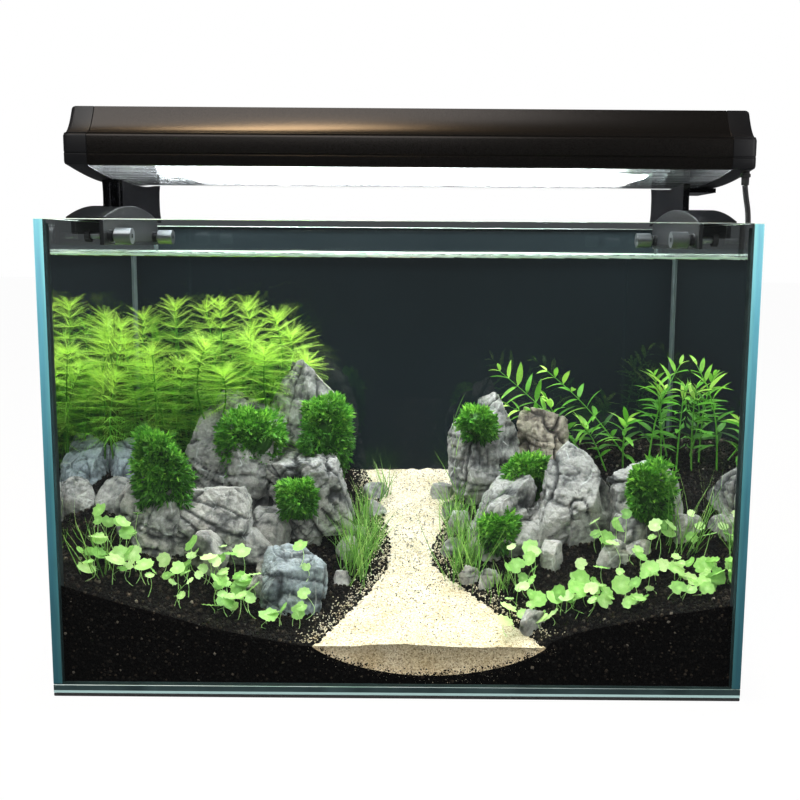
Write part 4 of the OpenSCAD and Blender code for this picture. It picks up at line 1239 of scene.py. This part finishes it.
def make_feather_plants():
    """A thicket of feathery stems in the back left corner: open crowns above, and a filling below painted darker
    as shade.
    """
    rng = chance(3)
    lo, hi = box_of("feather_plants")
    crowns = np.array([(-308, 60, 308), (-272, 100, 316), (-238, 96, 327), (-210, 118, 325), (-190, 92, 329),
                       (-164, 104, 328), (-134, 92, 316), (-284, 66, 293), (-158, 60, 298), (-138, 44, 284),
                       (-224, 66, 270), (-260, 56, 268), (-290, 36, 260), (-98, 76, 270), (-120, 110, 296),
                       (-250, 40, 284), (-196, 40, 290), (-178, 30, 262)]) * MM
    crowns[:, 0] = np.clip(crowns[:, 0], -IN_X + 0.008, hi[0])
    m = 40
    x = np.linspace(-IN_X + 0.012, hi[0] - 0.01, m) + rng.normal(0, 0.005, m)
    y = np.array([0.126, 0.1, 0.074, 0.046])[np.arange(m) % 4] + rng.normal(0, 0.005, m)
    z = np.array([0.292, 0.27, 0.25, 0.228])[np.arange(m) % 4] - 0.9 * np.clip(x + 0.15, 0, 1)
    z = z + rng.normal(0, 0.01, m)
    sets = []
    filling = np.stack([x, y, z], 1)
    # the last number lifts the crowns' tone and lowers the filling's: painted light and painted shade
    for tips, count, per, reach, light in ((crowns, 10, 10, 0.031, 0.42), (filling, 9, 8, 0.026, -0.02)):
        n = len(tips)
        tips[:, 2] = np.minimum(tips[:, 2] + LIFT * MM, WATER_Z - 0.02)
        foot, _ = drop(tips[:, :2] + rng.normal(0, 0.006, (n, 2)) - [0, 0.004])
        foot[:, 2] = np.minimum(foot[:, 2] - 0.004, tips[:, 2] - 0.05)
        bow = rng.normal(0, 0.006, (n, 3)) * [1, 1, 0]
        line, p, f, tone = whorled(foot, tips, bow, 8, count, per, 0.3, reach, frond(), rng, (-0.15, 0.7),
                                   0.2, 1.5)
        sp, sf = stems(line, 0.0011)
        sets += [(p, f, np.clip(tone + light - 0.12, 0, 1)), (sp, sf, 0.2)]
    p, f, tone = join(*sets)
    o = mesh_object("feather_plants_leaves", inside_tank(p), f, False, tone)
    dress(o, feather_m, "tank", "leaf_bright", "feather_plants")


def make_willow_stems():
    """Willow-leaved stems behind the right stones: some stand, some lean over to the left."""
    rng = chance(4)
    feet = np.array([(204, 96), (240, 100), (189, 92), (272, 90), (256, 78), (214, 84), (232, 88), (284, 70),
                     (280, 98), (176, 100)]) * MM
    tips = np.array([(100, 90, 261), (150, 94, 261), (111, 84, 224), (261, 84, 258), (284, 66, 272),
                     (186, 80, 206), (234, 78, 212), (286, 52, 250), (276, 100, 240), (150, 96, 232)]) * MM
    tips[:, 2] += LIFT * MM
    foot, _ = drop(feet)
    foot[:, 2] = np.minimum(foot[:, 2], tips[:, 2] - 0.03)
    k = len(feet)
    bow = np.stack([rng.normal(0, 0.004, k), rng.normal(0, 0.003, k), np.full(k, 0.008)], 1)
    line, p, f, tone = whorled(foot, tips, bow, 9, 9, 2, 0.2, 0.0265, lance(), rng, (0.3, 0.85), 0.3)
    sp, sf = stems(line, 0.001)
    p, f, tone = join((p, f, tone), (sp, sf, 0.5))
    o = mesh_object("willow_stems_leaves", inside_tank(p), f, True, tone)
    dress(o, willow_m, "tank", "leaf_mid", "willow_stems")


def tuft(rng, cx, cy, wx, wy, n, height, lean=(0, 0)):
    """Feet, lengths and lean of the blades of one tuft."""
    xy = np.stack([rng.normal(cx, wx, n), rng.normal(cy, wy, n)], 1) * MM
    h = height * rng.uniform(0.45, 1.0, n) * MM
    way = rng.normal(0, 0.28, (n, 2)) + lean
    return xy, h, way


def make_hairgrass(name, tufts, seed):
    """Hair-thin blades in tufts, each blade arched over in its own direction."""
    rng = chance(seed)
    sets = [tuft(rng, *t) for t in tufts]
    xy, h, lean = [np.concatenate([s[k] for s in sets]) for k in range(3)]
    xy = np.clip(xy, [-IN_X + 0.003, -IN_Y + 0.003], [IN_X - 0.003, IN_Y - 0.003])
    foot, _ = drop(xy)
    foot[:, 2] -= 0.002
    shape, faces = blade()
    a = rng.uniform(0, TAU, len(h))
    c, s = np.cos(a), np.sin(a)
    zero, one = np.zeros_like(a), np.ones_like(a)
    turns = np.stack([np.stack([c, -s, lean[:, 0]], -1),
                      np.stack([s, c, lean[:, 1]], -1),
                      np.stack([zero, zero, one], -1)], 1)
    sizes = np.stack([h, np.full(len(h), 0.0009), h], 1)
    p, f = repeat(shape, faces, turns, foot, sizes)
    along_blade = np.repeat(np.linspace(0, 0.3, 6), 2)
    tone = np.repeat(rng.random(len(h)), len(shape)) * 0.7 + np.tile(along_blade, len(h))
    o = mesh_object(name + "_blades", inside_tank(p), f, True, np.clip(tone, 0, 1))
    dress(o, grass_m, "tank", "leaf_mid", name)


def make_pennywort(name, clumps, seed):
    """Round leaves held up on thin stalks, all tipped a little to the light and to the front."""
    rng = chance(seed)
    x = np.concatenate([rng.uniform(a, b, n) for a, b, c, d, n, lo, hi in clumps])
    y = np.concatenate([rng.uniform(c, d, n) for a, b, c, d, n, lo, hi in clumps])
    h = np.concatenate([rng.uniform(lo, hi, n) for a, b, c, d, n, lo, hi in clumps]) * MM
    foot, _ = drop(np.stack([x, y], 1) * MM)
    n = len(foot)
    tip = foot + np.stack([rng.normal(0, 0.005, n), rng.normal(-0.003, 0.004, n), h], 1)
    tip[:, :2] = np.clip(tip[:, :2], [-IN_X + 0.009, -IN_Y + 0.009], [IN_X - 0.009, IN_Y - 0.009])
    foot[:, 2] -= 0.002
    t = np.linspace(0, 1, 6)[None, :, None]
    bow = rng.normal(0, 0.004, (n, 1, 3)) * [1, 1, 0]
    line = foot[:, None] * (1 - t) + tip[:, None] * t + bow * np.sin(np.pi * t)
    up = np.stack([rng.normal(0, 0.5, n), rng.normal(-0.6, 0.6, n), np.ones(n)], 1)
    up /= np.linalg.norm(up, axis=1)[:, None]
    a = rng.uniform(0, TAU, n)
    way = np.stack([np.cos(a), np.sin(a), 0 * a], 1)
    way -= up * (way * up).sum(1)[:, None]
    way /= np.linalg.norm(way, axis=1)[:, None]
    turns = np.stack([way, np.cross(up, way), up], 2)
    shape, faces = penny_disc()
    p, f = repeat(shape, faces, turns, tip, 0.004 + 0.0055 * rng.random(n) ** 1.4)
    middle = np.r_[0.25, np.zeros(36)]
    tone = np.repeat(np.clip(rng.normal(0.55, 0.22, n), 0, 1), len(shape)) + np.tile(middle, n)
    sp, sf = stems(line, 0.00055, 3)
    p, f, tone = join((p, f, np.clip(tone, 0, 1)), (sp, sf, 0.75))
    o = mesh_object(name + "_leaves", inside_tank(p), f, True, tone)
    dress(o, penny_m, "tank", "leaf_pale", name)


def lumps_of(node):
    """The separate lumps of one frame node, as (lowest, highest) corners, by spreading the least label."""
    src = nodes[node].data
    co = np.zeros(len(src.vertices) * 3, np.float32)
    src.vertices.foreach_get("co", co)
    at = np.zeros(len(src.polygons) * 3, np.int32)
    src.polygons.foreach_get("vertices", at)
    keys, back = np.unique(np.round(co.reshape(-1, 3), 5), axis=0, return_inverse=True)
    f = back.reshape(-1)[at].reshape(-1, 3)
    label = np.arange(len(keys))
    while True:
        least = label[f].min(1)
        new = label.copy()
        np.minimum.at(new, f, least[:, None])
        if (new == label).all():
            break
        label = new
    return [(keys[label == k].min(0), keys[label == k].max(0)) for k in np.unique(label)]


def make_moss(node, seed):
    """Cushions of moss: dark lumps, painted shade inside each cushion, under thousands of leaflets that point
    outwards and droop.
    """
    rng = chance(seed)
    parts = []
    for lo, hi in lumps_of(node):
        centre, half = (lo + hi) / 2, (hi - lo) / 2
        p, f, t = stone_skin(centre, half * 0.62, seed + 5, 3, 4.5, 0.2, 40, 60)
        # the lump's tone is kept at the dark end: painted shade inside the cushion
        parts.append((p, f, t * 0.25))
        n = int(min(7600, 9100 * (half[0] * half[2] * 4e2) ** 0.5 + 2200))
        d = rng.normal(size=(n, 3))
        d /= np.linalg.norm(d, axis=1)[:, None]
        d = d[clouds((centre + d * half) / 0.012, 2, seed + 3) > 0.4]
        n = len(d)
        reach = (np.abs(d) ** 3).sum(1) ** (-1 / 3)
        uneven = 0.5 + 1.05 * clouds(d * 1.5 + centre * 60, 3, seed + 6)
        q = d * (reach * uneven)[:, None] * half * rng.uniform(0.55, 1.0, (n, 1)) ** 0.5
        lump = 0.82 + 0.55 * (clouds((centre + q) / 0.014, 3, seed) - 0.35)
        q = centre + q * lump[:, None]
        way = d + rng.normal(0, 0.6, (n, 3)) + [0, 0, -0.15]
        turns = facing(way, rng.uniform(0, TAU, n))
        shape, faces = leaflet()
        lp, lf = repeat(shape, faces, turns, q, rng.uniform(0.003, 0.009, n))
        bright = 0.12 if centre[0] < -0.225 else 0.42
        # painted light: leaflets that face up or stand out on a bulge are paler
        tone = np.clip(bright + 0.7 * (lump - 0.9) + 0.2 * d[:, 2] + rng.normal(0, 0.15, n), 0, 1)
        parts.append((lp, lf, np.repeat(tone, len(shape))))
    p, f, tone = join(*parts)
    o = mesh_object(node + "_cushions", inside_tank(p), f, False, tone)
    dress(o, moss_m, "tank", "moss", node)


make_feather_plants()
make_willow_stems()
make_hairgrass("hairgrass_left", [(-42, -34, 7, 16, 150, 62), (-30, -6, 5, 10, 60, 46),
                                  (-38, 40, 6, 16, 70, 50),
                                  (-266, -118, 9, 10, 26, 66, (-0.1, 0)), (-20, 96, 4, 8, 26, 40)], 21)
make_hairgrass("hairgrass_right", [(62, -40, 8, 16, 150, 62), (56, 10, 6, 14, 60, 48),
                                   (52, 56, 4, 12, 50, 46),
                                   (262, -66, 10, 10, 34, 88, (0.2, 0)), (96, -84, 8, 6, 40, 36)], 22)
make_pennywort("pennywort_left", [(-280, -84, -138, -104, 58, 6, 24), (-284, -236, -120, -80, 14, 16, 40),
                                  (-214, -120, -116, -80, 12, 12, 34)], 31)
make_pennywort("pennywort_right", [(96, 286, -138, -96, 70, 6, 24), (186, 286, -90, -46, 18, 14, 40),
                                   (80, 130, -90, -50, 8, 10, 26)], 32)
make_moss("moss_left", 51)
make_moss("moss_right", 52)


# ---------- water ----------

def make_water():
    """The water: a closed body a little inside the panes, its top drawn up at the glass as a fine meniscus.

    Height above the level is rise * exp(-distance to the glass / reach)."""
    gap, rise, reach = 0.0002, 0.0026, 0.0022
    e = np.r_[0, 0.0004, 0.001, 0.002, 0.004, 0.008]
    inner = np.linspace(0.03, 0.97, 30)

    def axis(half):
        a = half - gap
        edge = -a + e
        mid = -a + e[-1] + (2 * a - 2 * e[-1]) * inner
        return np.concatenate([edge, mid, -edge[::-1]])

    x, y = np.meshgrid(axis(IN_X), axis(IN_Y))
    away = np.minimum(IN_X - gap - np.abs(x), IN_Y - gap - np.abs(y))
    p = np.stack([x / 0.06, y / 0.06, 0 * x], -1)
    calm = (clouds(p, 2, 4) - 0.5) * 0.0012
    z = WATER_Z + rise * np.exp(-away / reach) + calm
    top = np.stack([x, y, z], -1)
    low = np.stack([x, y, 0 * z + FLOOR_Z + gap], -1)
    points, faces = two_grid_block(top, low)
    o = mesh_object("water", points, faces, True)
    o.data.set_sharp_from_angle(angle=math.radians(40))
    dress(o, water_m, "tank", None)
    o.data.materials.append(ripple_m)
    o.data.materials.append(rim_line_m)
    mid = points[faces].mean(1)
    side = np.minimum(IN_X - np.abs(mid[:, 0]), IN_Y - np.abs(mid[:, 1]))
    kind = np.where(mid[:, 2] > WATER_Z - 0.002, np.where(side < 0.0035, 2, 1), 0)
    kind[side < gap * 1.5] = 0
    o.data.polygons.foreach_set("material_index", kind.astype(np.int32))


make_water()


# ---------- lamp ----------

LAMP_LO, LAMP_HI = box_of("lamp_housing", "end_cap_left", "end_cap_right")
BODY_LO, BODY_HI = box_of("lamp_housing")
CAP_SAG = 0.010
BAND_H, CROWN_H, CROWN_IN = 0.029, float(BODY_HI[2] - BODY_LO[2]) - 0.029, 0.023
SHELL = 0.0022
LAMP_Y = float(BODY_LO[1] + BODY_HI[1]) / 2
HALF_D = float(BODY_HI[1] - BODY_LO[1]) / 2
LAMP_Z = float(BODY_LO[2])


def hood_profile(inset=0.0):
    """Right half of the hood's section from its foot to its top: an upright band with a raised lip,
    a narrow step, then a hollow curve y = crown_h * t ** 1.9 that leans in to the flat top."""
    h, z = HALF_D - inset, LAMP_Z
    t = np.linspace(0, 1, 28)
    band = [(h - 0.0022, z), (h - 0.0006, z + 0.0005), (h, z + 0.0022), (h, z + 0.0095),
            (h - 0.0007, z + 0.0102), (h - 0.0007, z + 0.0110), (h, z + 0.0117), (h, z + 0.0255),
            (h - 0.0006, z + 0.0272), (h - 0.002, z + 0.028)]
    crown = [(h - 0.002 - (CROWN_IN - 0.002) * a, z + BAND_H + (CROWN_H - inset) * a**1.9) for a in t]
    top = [(h - CROWN_IN - 0.0012, z + BAND_H + CROWN_H - inset)]
    return np.array(band + crown + top)


def hood_shell(x0, x1, inner=True):
    """Outer skin of the hood, closed by its inner skin, as one ring of points at each station."""
    out = hood_profile()
    full = np.concatenate([out, (out * [-1, 1])[::-1]])
    small = np.array([(HALF_D - SHELL, LAMP_Z), (HALF_D - SHELL, LAMP_Z + BAND_H)]
                     + [(HALF_D - 0.002 - SHELL - (CROWN_IN - 0.002) * a,
                         LAMP_Z + BAND_H + (CROWN_H - SHELL) * a**1.9)
                        for a in np.linspace(0.05, 1, 12)])
    back = np.concatenate([small * [-1, 1], small[::-1]])
    ring = np.concatenate([full, back])
    xs = np.array([x0, x1])
    rings = np.stack([np.stack([np.full(len(ring), x), LAMP_Y + ring[:, 0], ring[:, 1]], 1) for x in xs])
    m = len(ring)
    quads = grid_quads(2, m, True)
    outer_n, inner_n = len(full), len(back)
    # the two end faces run between the outer line and the inner line
    k = np.linspace(0, 1, outer_n)
    match = outer_n + (inner_n - 1 - np.round(k * (inner_n - 1)).astype(int))
    ends = []
    for j in range(outer_n - 1):
        a, b = j, j + 1
        ia, ib = match[j], match[j + 1]
        ends.append((a, b, ib))
        if ia != ib:
            ends.append((a, ib, ia))
    ends = np.array(ends)
    return rings.reshape(-1, 3), np.concatenate([tris(quads)[:, ::-1], ends, ends[:, ::-1] + m])


def make_hood():
    points, faces = hood_shell(float(BODY_LO[0]), float(BODY_HI[0]))
    o = mesh_object("lamp_housing_shell", points, faces, True)
    o.data.set_sharp_from_angle(angle=math.radians(24))
    dress(o, hood_m, "lamp", "hood", "lamp_housing")


def make_cap(node, x_in, x_out):
    """End cap: the hood's outline a little proud of it, rounded off towards the outside,
    with its lower edge sagging by cap_sag * (1 - t * t)."""
    out = hood_profile() + [0.0006, 0]
    t = np.linspace(1, -1, 34)[1:-1]
    low = np.stack([(HALF_D - 0.003) * -t, LAMP_Z - CAP_SAG * (1 - t * t)], 1)
    full = np.concatenate([out, (out * [-1, 1])[::-1], low])
    centre = np.array([0.0, LAMP_Z + 0.022])
    sign = 1 if x_out > x_in else -1
    length = abs(x_out - x_in)
    stations = [(0.0, 0.0010), (0.0006, 0.0), (length - 0.005, 0.0), (length - 0.003, 0.0005),
                (length - 0.0012, 0.0016),
                (length - 0.0003, 0.003), (length, 0.0045)]
    rings = []
    for d, e in stations:
        span = np.array([HALF_D, 0.034])
        q = centre + (full - centre) * (1 - e / span)
        rings.append(np.stack([np.full(len(q), x_in + sign * d), LAMP_Y + q[:, 0], q[:, 1]], 1))
    rings = np.array(rings)
    n, m = rings.shape[:2]
    faces = tris(grid_quads(n, m, True))
    j = np.arange(m)
    k = (j + 1) % m
    poles = [[rings[0, 0, 0], LAMP_Y, centre[1]], [rings[-1, 0, 0], LAMP_Y, centre[1]]]
    points = np.concatenate([rings.reshape(-1, 3), poles])
    low_f = np.stack([np.full(m, n * m), k, j], 1)
    high_f = np.stack([np.full(m, n * m + 1), (n - 1) * m + j, (n - 1) * m + k], 1)
    faces = np.concatenate([faces, low_f, high_f])
    if sign > 0:
        faces = faces[:, ::-1]
    o = mesh_object(node + "_moulding", points, faces, True)
    o.data.set_sharp_from_angle(angle=math.radians(24))
    dress(o, cap_m, "lamp", "cap", node)


make_hood()
make_cap("end_cap_left", float(BODY_LO[0]), float(LAMP_LO[0]))
make_cap("end_cap_right", float(BODY_HI[0]), float(LAMP_HI[0]))


def make_diodes():
    """Dome lenses over the diodes, in three rows."""
    lo, hi = box_of("led_chips")
    a = np.linspace(0, math.pi / 2, 5)
    rings = [np.stack([0.0034 * math.cos(t) * np.cos(np.arange(12) * TAU / 12),
                       0.0034 * math.cos(t) * np.sin(np.arange(12) * TAU / 12),
                       np.full(12, -0.0022 * math.sin(t))], 1) for t in a[:-1]]
    v = np.concatenate(rings + [np.array([[0, 0, -0.0022]])])
    j = np.arange(12)
    k = (j + 1) % 12
    f = np.concatenate([tris(grid_quads(4, 12, True))[:, ::-1],
                        np.stack([36 + j, np.full(12, 48), 36 + k], 1),
                        np.stack([j[1:-1] * 0, j[1:-1], k[1:-1]], 1)])
    x = np.linspace(lo[0] + 0.0025, hi[0] - 0.0025, 16)
    y = np.linspace(lo[1] + 0.0025, hi[1] - 0.0025, 3)
    places = np.stack([np.repeat(x, 3), np.tile(y, 16), np.full(48, lo[2] + 0.0002)], 1)
    p, f = repeat(v, f, np.repeat(np.eye(3)[None], 48, 0), places, np.ones(48))
    o = mesh_object("diode_lenses", p, f, True)
    dress(o, diode_m, "lamp", "led")


make_diodes()

for side in ("left", "right"):
    softened("leg_" + side, bracket_m, "lamp", "bracket", 0.0012, 3)
    softened("foot_" + side, foot_m, "lamp", "foot", 0.0008, 2)
    for end in ("front", "back"):
        key = side + "_" + end
        softened("pad_" + key, rubber_m, "clamp_" + key, "rubber", 0.0006, 2)
        softened("knob_" + key, knob_m, "screw_" + key, "knob", 0.0006, 2)
softened("strain_relief", rubber_m, "lamp", "rubber", 0.0003, 2)


# ---------- light and floor ----------

def area_light(name, at, look, size, power, shape="RECTANGLE", seen=False, spread=math.pi, colour=(1, 1, 1)):
    light = bpy.data.lights.new(name, "AREA")
    light.shape, light.size, light.size_y = shape, size[0], size[1]
    light.energy, light.color, light.spread = power, colour, spread
    o = bpy.data.objects.new(name, light)
    bpy.context.scene.collection.objects.link(o)
    o.location = at
    o.rotation_euler = (Vector(look) - Vector(at)).to_track_quat("-Z", "Y").to_euler()
    o.visible_camera = seen
    return o


def light_scene():
    area_light("lamp_glow", (0.008, LAMP_Y, LAMP_Z - 0.0035), (0.008, LAMP_Y, 0.0), (0.44, 0.17), 4.0)
    area_light("warm_above", (-0.28, -0.1, 1.6), (-0.14, 0.0, 0.47), (0.5, 0.25), 13.0,
               colour=(1, 0.72, 0.42))
    area_light("cool_behind", (0.35, 1.6, 1.3), (0.2, 0.0, 0.47), (0.5, 0.5), 12.0, colour=(0.9, 0.95, 1))
    key = area_light("soft_top", (-0.5, -0.9, 1.7), (0, 0, 0.3), (1.6, 1.2), 22.0)
    fill = area_light("soft_right", (1.5, -1.0, 0.9), (0, 0, 0.3), (1.0, 1.0), 8.0)
    for o in (key, fill):
        o.visible_transmission = False
    world = bpy.data.worlds.new("studio")
    bpy.context.scene.world = world
    world.use_nodes = True
    nt = world.node_tree
    nt.nodes.clear()
    out, mix = nt.nodes.new("ShaderNodeOutputWorld"), nt.nodes.new("ShaderNodeMixShader")
    path = nt.nodes.new("ShaderNodeLightPath")
    dim, white = nt.nodes.new("ShaderNodeBackground"), nt.nodes.new("ShaderNodeBackground")
    dim.inputs["Color"].default_value = (0.9, 0.95, 1.0, 1)
    dim.inputs["Strength"].default_value = 0.22
    white.inputs["Color"].default_value = (1, 1, 1, 1)
    white.inputs["Strength"].default_value = 1.0
    faint = add(nt, "ShaderNodeMapRange")
    faint.inputs["To Min"].default_value, faint.inputs["To Max"].default_value = 0.22, 0.07
    nt.links.new(path.outputs["Is Glossy Ray"], faint.inputs["Value"])
    nt.links.new(faint.outputs[0], dim.inputs["Strength"])
    nt.links.new(path.outputs["Is Camera Ray"], mix.inputs[0])
    nt.links.new(dim.outputs[0], mix.inputs[1])
    nt.links.new(white.outputs[0], mix.inputs[2])
    nt.links.new(mix.outputs[0], out.inputs[0])


light_scene()


def make_floor():
    """A plain pale table that blends into the background."""
    x, y = np.meshgrid(np.linspace(-6, 6, 5), np.linspace(-3, 9, 5))
    points = np.stack([x, y, 0 * x - 0.0002], -1).reshape(-1, 3)
    o = mesh_object("floor", points, tris(grid_quads(5, 5)), False)
    m, nt, p = material("table_top", 0.8, 0.0, (0.93, 0.93, 0.93))
    path, emit = nt.nodes.new("ShaderNodeLightPath"), nt.nodes.new("ShaderNodeEmission")
    mix, out = nt.nodes.new("ShaderNodeMixShader"), nt.nodes["Material Output"]
    emit.inputs["Strength"].default_value = 1.0
    emit.inputs["Color"].default_value = (1, 1, 1, 1)
    mix.inputs[0].default_value = 0.97
    nt.links.new(p.outputs[0], mix.inputs[1])
    nt.links.new(emit.outputs[0], mix.inputs[2])
    nt.links.new(mix.outputs[0], out.inputs[0])
    o.data.materials.append(m)
    o.visible_glossy = False
    o.visible_transmission = False


make_floor()
bpy.context.scene.view_settings.view_transform = "Standard"
